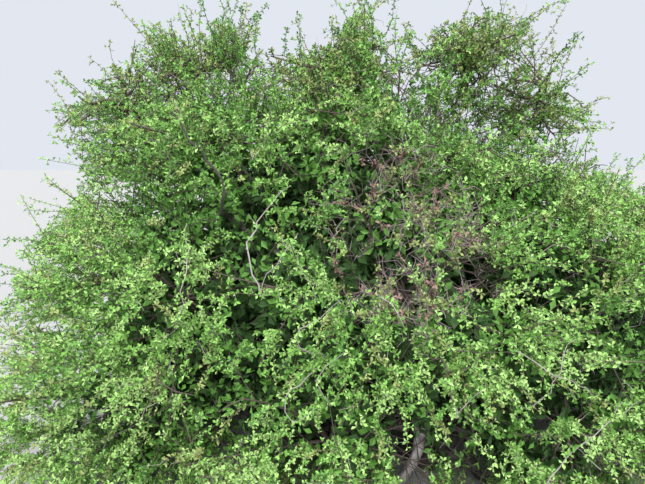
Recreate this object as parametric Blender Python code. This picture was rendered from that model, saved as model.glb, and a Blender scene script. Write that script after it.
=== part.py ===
"""A boxthorn: a dense, thorny, leafy shrub that stands on a short leaning stem.

Metres, +Z up. The ground is z = 0 and the stem's flat cut foot is centred on the origin. The front of
the shrub faces -Y and its right faces +X. One stem carries the boughs, each bough ends where it enters a
mass of foliage, and each mass keeps to a space of its own, so no two masses touch.
"""
import math
from collections import namedtuple

import bmesh
import bpy
import numpy as np
from mathutils import Vector
from mathutils.bvhtree import BVHTree

SEED = 41
SEAT_GAP = 0.0003  # left open where one piece meets the next
GOLDEN_ANGLE = math.radians(137.508)
SHARP_ANGLE = math.radians(40)

# The stem, from its flat foot up to where it is lost among the boughs
STEM_HEIGHT = 1.50
STEM_LEAN = (-0.30, 0.14)  # how far its top stands from over its foot
STEM_SWAY = 0.035
STEM_RADIUS_FOOT = 0.088
STEM_RADIUS_TOP = 0.030
FLARE_RADIUS = 0.075  # what the root flare adds at the ground
FLARE_HEIGHT = 0.09
FLARE_LOBES = 0.10  # how far the flare swells and sinks round its three roots
STEM_SIDES = 9
STEM_RINGS = 9
STEM_RING_CROWDING = 1.8  # a power that crowds the rings towards the ground
STEM_TAPER_POWER = 0.8
STEM_LEAN_POWER = 1.4  # the lean to the back comes later than the lean to the left

# A bough leaves the stem level and turns up into its mass. It tries these moves until it has room:
# a shift of its foot up the stem, a bow to one side (a share of its length) and a lift of its arch.
BOUGH_SIDES = 5
BOUGH_RINGS = 7
BOUGH_GNARL = 0.022  # sideways wander at each ring
BOUGH_TIP_RATIO = 0.42  # its tip radius beside its foot radius
BOUGH_LEAVES_STEM = 0.38  # share of its length over which it runs out level
BOUGH_ENTERS_MASS = 0.30  # and over which it turns towards the mass
BOUGH_SHIFTS = (0.0, 0.06, -0.06, 0.12, -0.12)
BOUGH_BOWS = (0.0, 0.12, -0.12, 0.24, -0.24, 0.36, -0.36)
BOUGH_LIFTS = (0.0, 0.12, -0.08)
BOUGH_RISE = 0.5  # upward share of the direction in which a bough enters its mass
BOUGH_ORDER = 3  # boughs of a ring leave the stem in steps of this many, so neighbours aren't level
LIMB_CLEARANCE = 0.006
SAMPLE_STEP = 0.012  # spacing of the points that gaps to a limb are tested at

# The space of a mass and what fills it
SPACE_MARGIN = 0.004  # between a mass and the wall of its space
GROUND_CLEARANCE = 0.012
CORE_SHARE = (0.60, 0.72)  # how far out towards the open a dense mass's core reaches
CORE_SHARE_AT_WALL = 0.92  # and how far towards a neighbour's space
CORE_SHARE_INWARD = 0.60
CORE_SIZES = (1.0, 0.88, 0.76, 0.64, 0.52, 0.42)  # tried in turn until it clears the limbs
CORE_CLEARANCE = 0.012
ENTRY_GAP = 0.05  # bare stem between a bough's tip and the core
ENTRY_DROP = 0.55  # downward share of the direction from a mass's heart to its bough's tip
OPEN_ENTRY_SHARE = 0.55  # how far from the heart of an open spray its bough ends, in spray radii
MASS_STEM_SIDES = 4
MASS_STEM_RADII = (0.92, 0.83, 0.55)  # at its foot, bend and heart, beside the bough's tip radius
MASS_STEM_STRAIGHT = 0.04  # how far it runs on from the bough before it bends

TWIG_RADIUS = 0.011
TWIG_TIP_RADIUS = 0.004
TWIG_BEND = 0.03
SHOOT_END_GAP = (1.0, 1.15)  # how many leaf lengths a shoot stops short of the walls
SHORTEST_SHOOT = 0.10
DENSE_SHOOTS = 6
DENSE_SPREAD = 105  # degrees that the shoots fan out from the mass's outward direction
OPEN_SHOOTS = 7
OPEN_SPREAD = 125
CORE_LEAF_SPREAD = 115

LEAF_LENGTH = 0.23
LEAF_WIDTH = 0.125
LEAF_THICKNESS = 0.014
LEAF_WIDEST = 0.55  # where along its length a leaf is widest
LEAF_SIZES = (0.85, 1.10)
LEAF_SUNK_IN_TWIG = 0.004  # how far past its twig's middle a leaf's root goes
LEAF_SUNK_IN_CORE = 0.045
LEAF_CLEARANCE = 0.034
TIP_LEAF_LEAN = 0.12  # radians between a shoot and the leaf at its tip
SIDE_LEAF_LEAN = (0.75, 1.15)  # and the leaves along it
SIDE_LEAF_SHARE = (0.62, 0.92)  # how far along its shoot a side leaf stands
CORE_LEAF_RAKE = 0.6  # how far a leaf on a core turns from square to it towards straight out
CORE_LEAF_SCATTER = 0.5
DENSE_LEAVES = 20
DENSE_LEAF_TURNS = 2  # leaves that each shoot of a dense mass may bear
OPEN_LEAVES = 18
OPEN_LEAF_TURNS = 5

# Rings of dense masses, from the ground up. The first mass of a ring stands at its bearing, in degrees
# counter-clockwise from +X, and the rest are spaced evenly along the ring from there.
Tier = namedtuple("Tier", "name count bearing centre half_width half_depth height tilt across up "
                          "stem_low stem_high bough_radius arch")
TIERS = (
    Tier("skirt", 7, -62.0, (-0.22, 0.25), 1.76, 0.92, 0.50, 0.00, 0.84, 0.62, 0.13, 0.27, 0.027, 0.20),
    Tier("side", 7, -90.0, (-0.26, 0.25), 1.62, 0.88, 1.25, 0.14, 0.84, 0.62, 0.40, 0.62, 0.030, 0.10),
    Tier("shoulder", 5, -60.0, (-0.68, 0.25), 0.95, 0.56, 1.94, -0.08, 0.76, 0.60, 0.80, 1.02, 0.027, 0.02),
    Tier("top", 3, 180.0, (-0.82, 0.25), 0.62, 0.32, 2.36, 0.00, 0.62, 0.52, 1.20, 1.38, 0.023, 0.00),
)

# Single masses: one that fills the right hip, and open sprays that stand out of the crown and show the sky
Single = namedtuple("Single", "name centre across up stem_height bough_radius arch dense")
SINGLES = (
    Single("hip", (0.60, 0.30, 1.66), 0.58, 0.48, 0.72, 0.026, 0.02, True),
    Single("spray_top", (0.20, 0.22, 2.46), 0.54, 0.50, 1.12, 0.026, 0.00, False),
    Single("spray_tip", (0.64, 0.18, 2.24), 0.46, 0.44, 0.94, 0.024, 0.05, False),
    Single("spray_left", (-1.80, 0.06, 2.22), 0.46, 0.44, 1.06, 0.022, 0.02, False),
)
SINGLES_LEAN_FROM = (-0.66, 0.25, 1.64)  # the single masses face away from this point

Mass = namedtuple("Mass", "name centre radii dense out stem_height bough_radius arch seed")
Limb = namedtuple("Limb", "points radii")


def vec(*values):
    return np.array(values, dtype=float)


def unit(v):
    return v / max(np.linalg.norm(v), 1e-9)


def ring_angles(tier):
    """Angles on a tier's ellipse that stand the same distance apart along it."""
    steps = np.radians(tier.bearing) + np.linspace(0, 2 * math.pi, 721)
    xs, ys = tier.half_width * np.cos(steps), tier.half_depth * np.sin(steps)
    run = np.concatenate([[0.0], np.cumsum(np.hypot(np.diff(xs), np.diff(ys)))])
    return np.interp(run[-1] * np.arange(tier.count) / tier.count, run, steps)


def masses():
    """Every mass of the crown, ring by ring and then the single ones."""
    found = []
    for tier in TIERS:
        for i, angle in enumerate(ring_angles(tier)):
            rng = np.random.default_rng([SEED, len(found)])
            size = 1.0 + rng.uniform(-0.05, 0.05)
            centre = vec(tier.centre[0] + tier.half_width * math.cos(angle),
                         tier.centre[1] + tier.half_depth * math.sin(angle),
                         tier.height + tier.tilt * math.cos(angle))
            out = unit(vec(math.cos(angle), math.sin(angle), 0.15 + 0.45 * centre[2]))
            share = (i * BOUGH_ORDER % tier.count) / (tier.count - 1)
            found.append(Mass(f"{tier.name}_{i + 1}", centre,
                              vec(tier.across, tier.across, tier.up) * size, True, out,
                              tier.stem_low + (tier.stem_high - tier.stem_low) * share,
                              tier.bough_radius, tier.arch, len(found)))
    for single in SINGLES:
        centre = vec(*single.centre)
        found.append(Mass(single.name, centre, vec(single.across, single.across, single.up), single.dense,
                          unit(centre - vec(*SINGLES_LEAN_FROM)), single.stem_height, single.bough_radius,
                          single.arch, len(found)))
    return found


def walls(mass, crown):
    """The planes (point, outward normal) that part this mass's space from its neighbours and the ground."""
    planes = [(vec(0, 0, GROUND_CLEARANCE), vec(0, 0, -1))]
    for other in crown:
        if other is mass:
            continue
        between = other.centre - mass.centre
        share = mass.radii[0] / (mass.radii[0] + other.radii[0])
        normal = unit(between)
        planes.append((mass.centre + between * share - normal * SPACE_MARGIN, normal))
    return planes


def reach(mass, planes, start, direction):
    """How far a straight line from start can run before it leaves the mass's space."""
    s, d = (start - mass.centre) / mass.radii, direction / mass.radii
    a, b, c = d @ d, 2 * s @ d, s @ s - 1.0
    root = b * b - 4 * a * c
    if root <= 0:
        return 0.0
    far = (-b + math.sqrt(root)) / (2 * a)
    for point, normal in planes:
        slope = direction @ normal
        if slope > 1e-6:
            far = min(far, ((point - start) @ normal) / slope)
    return max(far, 0.0)


def inside(mass, planes, points):
    """True where every point lies in the mass's space."""
    points = np.atleast_2d(points)
    if np.any((((points - mass.centre) / mass.radii) ** 2).sum(axis=1) > 1.0):
        return False
    return all(np.all((points - point) @ normal < 0) for point, normal in planes)


def samples(limb):
    """Points along a limb with its radius there, close enough together to test gaps against."""
    rows = []
    for (p, q), (r, s) in zip(zip(limb.points, limb.points[1:]), zip(limb.radii, limb.radii[1:])):
        count = max(2, int(np.linalg.norm(q - p) / SAMPLE_STEP) + 1)
        for t in np.linspace(0, 1, count):
            rows.append([*(p + (q - p) * t), r + (s - r) * t])
    return np.array(rows)


def gap_between(points, radius, rows):
    """The least space between a set of points with one radius and the sampled limbs."""
    points = np.atleast_2d(points)
    away = np.linalg.norm(points[:, None, :] - rows[None, :, :3], axis=2) - rows[None, :, 3]
    return float(away.min()) - radius


def curve(p0, p1, p2, p3, count):
    t = np.linspace(0, 1, count)[:, None]
    return (1 - t) ** 3 * p0 + 3 * (1 - t) ** 2 * t * p1 + 3 * (1 - t) * t ** 2 * p2 + t ** 3 * p3


def stem_centre(height):
    """The stem's axis leans evenly and sways once on the way."""
    share = height / STEM_HEIGHT
    sway = STEM_SWAY * math.sin(2 * math.pi * share)
    return vec(STEM_LEAN[0] * share + sway, STEM_LEAN[1] * share ** STEM_LEAN_POWER - 0.6 * sway, height)


def stem_radius(height):
    share = (height / STEM_HEIGHT) ** STEM_TAPER_POWER
    taper = STEM_RADIUS_FOOT + (STEM_RADIUS_TOP - STEM_RADIUS_FOOT) * share
    return taper + FLARE_RADIUS * math.exp(-height / FLARE_HEIGHT)


def stem():
    """The stem's rings stand closer together in the root flare."""
    heights = [STEM_HEIGHT * (i / (STEM_RINGS - 1)) ** STEM_RING_CROWDING for i in range(STEM_RINGS)]
    return Limb([stem_centre(h) for h in heights], [stem_radius(h) for h in heights])


def frame_of(direction):
    """Two unit vectors square to a direction."""
    helper = vec(0, 0, 1) if abs(direction[2]) < 0.9 else vec(1, 0, 0)
    side = unit(np.cross(helper, direction))
    return side, np.cross(direction, side)


def tangents(points):
    """The direction of a path at each of its points."""
    steps = [unit(q - p) for p, q in zip(points, points[1:])]
    middle = [unit(a + b) for a, b in zip(steps, steps[1:])]
    return [steps[0], *middle, steps[-1]]


def tube(points, radii, sides, rooted=False):
    """A closed tapering tube along a path, capped flat at both ends, with a level lobed foot if rooted."""
    bm = bmesh.new()
    rings = []
    side = None
    for i, (p, direction, radius) in enumerate(zip(points, tangents(points), radii)):
        if rooted and i == 0:
            direction = vec(0, 0, 1)
        lobes = FLARE_LOBES * math.exp(-p[2] / FLARE_HEIGHT) if rooted else 0.0
        side = frame_of(direction)[0] if side is None else unit(side - direction * (side @ direction))
        other = np.cross(direction, side)
        ring = []
        for k in range(sides):
            angle = 2 * math.pi * k / sides
            swell = 1.0 + lobes * math.cos(3 * angle)
            ring.append(bm.verts.new(p + radius * swell * (side * math.cos(angle) + other * math.sin(angle))))
        rings.append(ring)
    for low, high in zip(rings, rings[1:]):
        for k in range(sides):
            bm.faces.new((low[k], low[(k + 1) % sides], high[(k + 1) % sides], high[k]))
    bm.faces.new(rings[0][::-1])
    bm.faces.new(rings[-1])
    return bm


def leaf_axes(direction, turn):
    """The directions across a leaf and through its thickness."""
    side, up = frame_of(direction)
    across = side * math.cos(turn) + up * math.sin(turn)
    return across, np.cross(direction, across)


def leaf(root, direction, turn, length):
    """A flattened octahedron: a leaf with a raised rib down the middle of both faces."""
    across, thick = leaf_axes(direction, turn)
    half = LEAF_WIDTH * 0.5 * length / LEAF_LENGTH
    middle = root + direction * length * LEAF_WIDEST
    corners = [root, root + direction * length, middle + across * half, middle - across * half,
               middle + thick * LEAF_THICKNESS * 0.5, middle - thick * LEAF_THICKNESS * 0.5]
    bm = bmesh.new()
    v = [bm.verts.new(c) for c in corners]
    for end in (0, 1):
        for a, b in ((2, 4), (4, 3), (3, 5), (5, 2)):
            bm.faces.new((v[end], v[a], v[b]))
    bmesh.ops.recalc_face_normals(bm, faces=bm.faces)
    return bm


def leaf_points(root, direction, turn, length):
    """Points spread over a leaf, to test it against the walls and the limbs."""
    across, _ = leaf_axes(direction, turn)
    half = LEAF_WIDTH * 0.5 * length / LEAF_LENGTH
    rows = [root + direction * length * t for t in (0.25, 0.45, 0.65, 0.85, 1.0)]
    rows += [root + direction * length * t + across * s * half for t in (0.4, 0.55, 0.7) for s in (-1, 1)]
    return np.array(rows)


def core(mass, planes, limb_rows, rng):
    """A lumpy body that fills the middle of a dense mass, drawn in until it clears every limb."""
    bm = bmesh.new()
    bmesh.ops.create_icosphere(bm, subdivisions=2, radius=1.0)
    directions = [unit(vec(*v.co)) for v in bm.verts]
    spread = [core_share(mass, planes, d, rng) * reach(mass, planes, mass.centre, d) for d in directions]
    for size in CORE_SIZES:
        for v, d, r in zip(bm.verts, directions, spread):
            v.co = Vector(mass.centre + d * r * size)
        tree = BVHTree.FromBMesh(bm)
        if all(outside_body(tree, row[:3], row[3] + CORE_CLEARANCE) for row in limb_rows):
            return bm, tree
    raise ValueError(f"no room for the core of {mass.name}")


def core_share(mass, planes, direction, rng):
    """How much of the way to the edge of the space a core fills, in one direction."""
    open_share = rng.uniform(*CORE_SHARE)
    if direction @ mass.out < -0.1:
        return CORE_SHARE_INWARD
    walled = reach(mass, planes, mass.centre, direction) < reach(mass, [], mass.centre, direction) - 0.001
    return CORE_SHARE_AT_WALL if walled else open_share


def outside_body(tree, point, clearance=0.0):
    """True where a point lies outside a closed body by more than the clearance."""
    found, normal, _, distance = tree.find_nearest(Vector(point))
    return (Vector(point) - found).dot(normal) > 0 and distance > clearance


def spread_directions(out, count, widest):
    """Directions spaced evenly about out by the golden angle, as far round as the widest angle."""
    side, up = frame_of(out)
    lowest = math.cos(math.radians(widest))
    rows = []
    for k in range(count):
        height = 1.0 - (1.0 - lowest) * (k + 0.5) / count
        ring = math.sqrt(max(0.0, 1.0 - height * height))
        angle = k * GOLDEN_ANGLE
        rows.append(unit(out * height + side * ring * math.cos(angle) + up * ring * math.sin(angle)))
    return rows


def entry_point(mass, planes):
    """Where the mass's bough ends: on the inner side of the core, or near the heart of an open spray."""
    inward = unit(-mass.out - vec(0, 0, ENTRY_DROP))
    if not mass.dense:
        return mass.centre + inward * min(mass.radii) * OPEN_ENTRY_SHARE
    depth = reach(mass, planes, mass.centre, inward)
    return mass.centre + inward * (depth * CORE_SHARE_INWARD + ENTRY_GAP)


def bough(mass, entry, taken, parent):
    """A gnarled limb from the stem's heart to the mass, moved or bowed aside where it would touch another."""
    for shift in BOUGH_SHIFTS:
        for bow in BOUGH_BOWS:
            for lift in BOUGH_LIFTS:
                limb = bough_path(mass, entry, mass.stem_height + shift, bow, lift)
                if bough_is_clear(limb, taken, parent):
                    return limb
    raise ValueError(f"no room for the bough of {mass.name}")


def bough_path(mass, entry, stem_height, bow, lift):
    """One way for a bough to run from the stem to its mass."""
    rng = np.random.default_rng([SEED, mass.seed, 7])
    foot = stem_centre(stem_height)
    length = np.linalg.norm(entry - foot)
    away = unit(vec(entry[0] - foot[0], entry[1] - foot[1], 0))
    aside = vec(-away[1], away[0], 0) * bow * length
    level = foot + away * length * BOUGH_LEAVES_STEM + aside + vec(0, 0, mass.arch + lift)
    turned = entry - unit(mass.out + vec(0, 0, BOUGH_RISE)) * length * BOUGH_ENTERS_MASS + aside
    points = list(curve(foot, level, turned, entry, BOUGH_RINGS))
    for i in range(2, BOUGH_RINGS - 1):
        points[i] = points[i] + rng.uniform(-1, 1, 3) * BOUGH_GNARL
    radii = mass.bough_radius * (1 - (1 - BOUGH_TIP_RATIO) * np.linspace(0, 1, BOUGH_RINGS))
    return Limb(points, list(radii))


def bough_is_clear(limb, taken, parent):
    """True where a bough keeps off the ground, the other boughs and, past its foot, the stem."""
    foot, radius = limb.points[0], limb.radii[0]
    rows = samples(limb)
    if rows[:, 2].min() < radius + GROUND_CLEARANCE:
        return False
    from_foot = np.linalg.norm(rows[:, :3] - foot, axis=1)
    past_bark = rows[from_foot > stem_radius(foot[2])]
    if any(gap_between(past_bark[:, :3], radius, other) < LIMB_CLEARANCE for other in taken):
        return False
    past_foot = rows[from_foot > stem_radius(foot[2]) + 2.5 * radius]
    return gap_between(past_foot[:, :3], radius, parent) > LIMB_CLEARANCE


def twig(start, end, bend):
    """A three-sided twig with one bend."""
    radii = [TWIG_RADIUS, (TWIG_RADIUS + TWIG_TIP_RADIUS) * 0.5, TWIG_TIP_RADIUS]
    return tube([start, (start + end) * 0.5 + bend, end], radii, 3)


def foliage(mass, planes, limb, limb_rows, own_rows):
    """The parts of one mass: its stem, its core, the shoots, and the leaves on shoots and core."""
    rng = np.random.default_rng([SEED, mass.seed, 11])
    heading = unit(limb.points[-1] - limb.points[-2])
    foot = limb.points[-1] + heading * SEAT_GAP
    path = [foot, foot + heading * MASS_STEM_STRAIGHT, mass.centre]
    parts = [tube(path, [limb.radii[-1] * share for share in MASS_STEM_RADII], MASS_STEM_SIDES)]
    body = None
    if mass.dense:
        core_mesh, body = core(mass, planes, np.vstack([limb_rows, own_rows]), rng)
        parts.append(core_mesh)
    seats = shoots(parts, mass, planes, limb_rows, rng)
    placed = shoot_leaves(parts, mass, planes, seats, body, limb_rows, rng)
    if mass.dense:
        core_leaves(parts, mass, planes, body, limb_rows, rng, DENSE_LEAVES - placed)
    return parts


def shoots(parts, mass, planes, limb_rows, rng):
    """Add the shoots, which fan out from the mass's heart to a leaf's length short of its walls."""
    count, widest = (DENSE_SHOOTS, DENSE_SPREAD) if mass.dense else (OPEN_SHOOTS, OPEN_SPREAD)
    heart = mass.centre
    seats = []
    for direction in spread_directions(mass.out, count, widest):
        span = reach(mass, planes, heart, direction) - LEAF_LENGTH * rng.uniform(*SHOOT_END_GAP)
        if span < SHORTEST_SHOOT:
            continue
        side, up = frame_of(direction)
        bend = (side * rng.uniform(-1, 1) + up * rng.uniform(-0.3, 1)) * TWIG_BEND
        line = np.array([shoot_point(heart, direction, span, bend, t) for t in np.linspace(0.2, 1, 12)])
        if inside(mass, planes, line) and gap_between(line, TWIG_RADIUS, limb_rows) > LIMB_CLEARANCE:
            parts.append(twig(heart, heart + direction * span, bend))
            seats.append((direction, span, bend))
    return seats


def shoot_point(heart, direction, span, bend, share):
    """A point of a bent shoot, at a share of its span."""
    return heart + direction * span * share + bend * (1 - abs(2 * share - 1))


def shoot_leaves(parts, mass, planes, seats, body, limb_rows, rng):
    """Add leaves to the shoots in turn, first at the tips and then round their sides by the golden angle."""
    wanted, turns = (DENSE_LEAVES, DENSE_LEAF_TURNS) if mass.dense else (OPEN_LEAVES, OPEN_LEAF_TURNS)
    placed = 0
    for number in range(turns * len(seats)):
        if placed >= wanted:
            break
        direction, span, bend = seats[number % len(seats)]
        at_tip = number < len(seats)
        share = 1.0 if at_tip else rng.uniform(*SIDE_LEAF_SHARE)
        lean = TIP_LEAF_LEAN if at_tip else rng.uniform(*SIDE_LEAF_LEAN)
        side, up = frame_of(direction)
        around = number * GOLDEN_ANGLE
        pointing = unit(direction + (side * math.cos(around) + up * math.sin(around)) * math.tan(lean))
        seat = shoot_point(mass.centre, direction, span, bend, share)
        placed += add_leaf(parts, mass, planes, seat, pointing, LEAF_SUNK_IN_TWIG, body, limb_rows, rng)
    return placed


def core_leaves(parts, mass, planes, body, limb_rows, rng, wanted):
    """Add leaves that stand out of the core, spaced evenly over its outer side."""
    placed = 0
    for direction in spread_directions(mass.out, wanted * 2, CORE_LEAF_SPREAD):
        if placed >= wanted:
            break
        hit, facing, _, _ = body.ray_cast(Vector(mass.centre), Vector(direction))
        scatter = rng.uniform(-1, 1, 3) * CORE_LEAF_SCATTER
        pointing = unit(vec(*facing) + direction * CORE_LEAF_RAKE + scatter)
        placed += add_leaf(parts, mass, planes, vec(*hit), pointing, LEAF_SUNK_IN_CORE, None, limb_rows, rng)


def add_leaf(parts, mass, planes, seat, pointing, sunk, body, limb_rows, rng):
    """Add one leaf, unless it would leave the space, sink into the core or touch a limb."""
    length = LEAF_LENGTH * rng.uniform(*LEAF_SIZES)
    turn = rng.uniform(0, math.pi)
    root = seat - pointing * sunk
    points = leaf_points(root, pointing, turn, length)
    if body is not None and not all(outside_body(body, p) for p in points[2:]):
        return 0
    if not inside(mass, planes, points) or gap_between(points, 0, limb_rows) < LEAF_CLEARANCE:
        return 0
    parts.append(leaf(root, pointing, turn, length))
    return 1


def material(name, colour, roughness):
    """A plain finish, metallic value 0."""
    made = bpy.data.materials.new(name)
    made.use_nodes = True
    shader = made.node_tree.nodes["Principled BSDF"]
    shader.inputs["Base Color"].default_value = (*colour, 1.0)
    shader.inputs["Roughness"].default_value = roughness
    shader.inputs["Metallic"].default_value = 0.0
    return made


def add_object(name, bm):
    """Put a mesh in the scene as an object of its own."""
    mesh = bpy.data.meshes.new(name)
    bm.to_mesh(mesh)
    bm.free()
    made = bpy.data.objects.new(name, mesh)
    bpy.context.scene.collection.objects.link(made)
    return made


def apply_boolean(target, operation, operands):
    """Join the operands to the target, or cut them from it, and leave one plain closed body."""
    group = bpy.data.collections.new("operands")
    bpy.context.scene.collection.children.link(group)
    for operand in operands:
        group.objects.link(operand)
    modifier = target.modifiers.new("join", "BOOLEAN")
    modifier.operation = operation
    modifier.operand_type = "COLLECTION"
    modifier.collection = group
    for solver in ("EXACT", "MANIFOLD"):
        modifier.solver = solver
        evaluated = target.evaluated_get(bpy.context.evaluated_depsgraph_get())
        mesh = main_body(bpy.data.meshes.new_from_object(evaluated))
        if is_closed(mesh):
            break
    target.modifiers.clear()
    target.data = mesh
    for operand in operands:
        bpy.data.objects.remove(operand)
    bpy.data.collections.remove(group)


def is_closed(mesh):
    """True where every edge joins exactly two faces."""
    bm = bmesh.new()
    bm.from_mesh(mesh)
    closed = len(bm.faces) > 0 and all(edge.is_manifold for edge in bm.edges)
    bm.free()
    return closed


def islands(bm):
    """The bodies of a mesh that share no vertex, as sets of faces."""
    left = set(bm.faces)
    found = []
    while left:
        group, edge = set(), [left.pop()]
        while edge:
            face = edge.pop()
            group.add(face)
            for v in face.verts:
                for other in v.link_faces:
                    if other in left:
                        left.discard(other)
                        edge.append(other)
        found.append(group)
    return found


def signed_volume(faces):
    total = 0.0
    for face in faces:
        corners = [v.co for v in face.verts]
        for b, c in zip(corners[1:], corners[2:]):
            total += corners[0].dot(b.cross(c)) / 6.0
    return total


def main_body(mesh):
    """Fill sealed hollows, drop loose scraps and split every face into triangles."""
    bm = bmesh.new()
    bm.from_mesh(mesh)
    bmesh.ops.triangulate(bm, faces=bm.faces)
    groups = islands(bm)
    main = max(groups, key=signed_volume)
    spare = [face for group in groups if group is not main for face in group]
    bmesh.ops.delete(bm, geom=spare, context="FACES")
    bm.to_mesh(mesh)
    bm.free()
    return mesh


def finish(target, surface):
    target.data.materials.clear()
    target.data.materials.append(surface)
    for polygon in target.data.polygons:
        polygon.use_smooth = True
        polygon.material_index = 0
    target.data.set_sharp_from_angle(angle=SHARP_ANGLE)


def make_limbs(crown, spaces, trunk_rows):
    """Every bough, each one clear of those before it, and its sampled points."""
    limbs, taken = [], []
    for mass, planes in zip(crown, spaces):
        limbs.append(bough(mass, entry_point(mass, planes), taken, trunk_rows))
        taken.append(samples(limbs[-1]))
    return limbs, taken


def main():
    for old in list(bpy.data.objects):
        bpy.data.objects.remove(old)

    bark = material("bark", (0.19, 0.16, 0.14), 0.92)
    bark_bough = material("bark_bough", (0.24, 0.21, 0.19), 0.90)
    leaf_green = material("leaf_green", (0.16, 0.26, 0.06), 0.60)
    leaf_open = material("leaf_open", (0.12, 0.20, 0.06), 0.62)

    crown = masses()
    spaces = [walls(mass, crown) for mass in crown]
    trunk_limb = stem()
    trunk_rows = samples(trunk_limb)
    limbs, taken = make_limbs(crown, spaces, trunk_rows)

    trunk = add_object("trunk", tube(trunk_limb.points, trunk_limb.radii, STEM_SIDES, rooted=True))
    finish(trunk, bark)

    seat_radii = [r + SEAT_GAP / math.cos(math.pi / STEM_SIDES) for r in trunk_limb.radii]
    for i, (mass, planes, limb) in enumerate(zip(crown, spaces, limbs)):
        made = add_object(f"bough_{mass.name}", tube(limb.points, limb.radii, BOUGH_SIDES))
        seat = add_object("seat", tube(trunk_limb.points, seat_radii, STEM_SIDES, rooted=True))
        apply_boolean(made, "DIFFERENCE", [seat])
        finish(made, bark_bough)

        others = np.vstack([trunk_rows] + [rows for k, rows in enumerate(taken) if k != i])
        parts = foliage(mass, planes, limb, others, taken[i])
        made = add_object(f"foliage_{mass.name}", parts[0])
        apply_boolean(made, "UNION", [add_object("part", part) for part in parts[1:]])
        finish(made, leaf_green if mass.dense else leaf_open)


main()
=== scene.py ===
"""A boxthorn in leaf: bark, thorny twigs and small leaves in tufts, grown on from its packed limbs.

Metres, +Z up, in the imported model's frame. The limbs and the space of each mass of foliage are worked out
by the rule that the solids were made by. Each mass is then grown again inside its own space: shoots from
its heart, branchlets on the shoots, leafy sprays that end on its skin, and spines and tufts on the sprays.
"""
import math
from collections import namedtuple
from itertools import product

import bpy
import numpy as np
from mathutils.kdtree import KDTree
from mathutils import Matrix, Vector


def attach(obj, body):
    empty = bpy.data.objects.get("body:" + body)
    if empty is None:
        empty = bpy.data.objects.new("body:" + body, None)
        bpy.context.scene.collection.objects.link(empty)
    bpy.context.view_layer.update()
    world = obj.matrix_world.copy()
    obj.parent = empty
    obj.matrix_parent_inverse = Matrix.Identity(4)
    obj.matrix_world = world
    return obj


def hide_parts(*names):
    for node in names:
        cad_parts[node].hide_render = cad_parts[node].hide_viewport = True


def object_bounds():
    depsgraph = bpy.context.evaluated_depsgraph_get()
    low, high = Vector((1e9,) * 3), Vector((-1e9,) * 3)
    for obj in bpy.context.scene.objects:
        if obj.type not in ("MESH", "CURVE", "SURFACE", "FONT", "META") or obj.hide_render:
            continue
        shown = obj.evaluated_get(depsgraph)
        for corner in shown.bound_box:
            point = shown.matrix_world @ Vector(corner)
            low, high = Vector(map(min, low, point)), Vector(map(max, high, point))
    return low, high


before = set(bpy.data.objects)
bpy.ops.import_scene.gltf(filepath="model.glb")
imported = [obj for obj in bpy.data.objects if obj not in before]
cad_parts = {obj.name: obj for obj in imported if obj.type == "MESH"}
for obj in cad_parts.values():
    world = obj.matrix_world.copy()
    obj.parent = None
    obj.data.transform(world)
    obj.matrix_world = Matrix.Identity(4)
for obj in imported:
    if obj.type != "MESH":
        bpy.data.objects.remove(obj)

CAD_BOX = [list(corner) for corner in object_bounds()]
BOX_LOW, BOX_HIGH = (np.array(corner) for corner in CAD_BOX)

# Shared with the solids
SEED = 41
SEAT_GAP = 0.0003
GOLDEN_ANGLE = math.radians(137.508)
LEAST = 1e-6
MILLIMETRES = 1000
MASS_WANDER = 0.05
MASS_RISE = (0.15, 0.45)

STEM_HEIGHT = 1.50
STEM_LEAN = (-0.30, 0.14)
STEM_SWAY = 0.035
STEM_RADIUS_FOOT = 0.088
STEM_RADIUS_TOP = 0.030
FLARE_RADIUS = 0.075
FLARE_HEIGHT = 0.09
FLARE_LOBES = 0.10
STEM_RINGS = 9
STEM_RING_CROWDING = 1.8
STEM_TAPER_POWER = 0.8
STEM_LEAN_POWER = 1.4

BOUGH_RINGS = 7
BOUGH_GNARL = 0.022
BOUGH_TIP_RATIO = 0.42
BOUGH_LEAVES_STEM = 0.38
BOUGH_ENTERS_MASS = 0.30
BOUGH_SHIFTS = (0.0, 0.06, -0.06, 0.12, -0.12)
BOUGH_BOWS = (0.0, 0.12, -0.12, 0.24, -0.24, 0.36, -0.36)
BOUGH_LIFTS = (0.0, 0.12, -0.08)
BOUGH_RISE = 0.5
BOUGH_ORDER = 3
LIMB_CLEARANCE = 0.006
SAMPLE_STEP = 0.012

SPACE_MARGIN = 0.004
GROUND_CLEARANCE = 0.012
CORE_SHARE_INWARD = 0.60
ENTRY_GAP = 0.05
ENTRY_DROP = 0.55
OPEN_ENTRY_SHARE = 0.55

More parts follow.
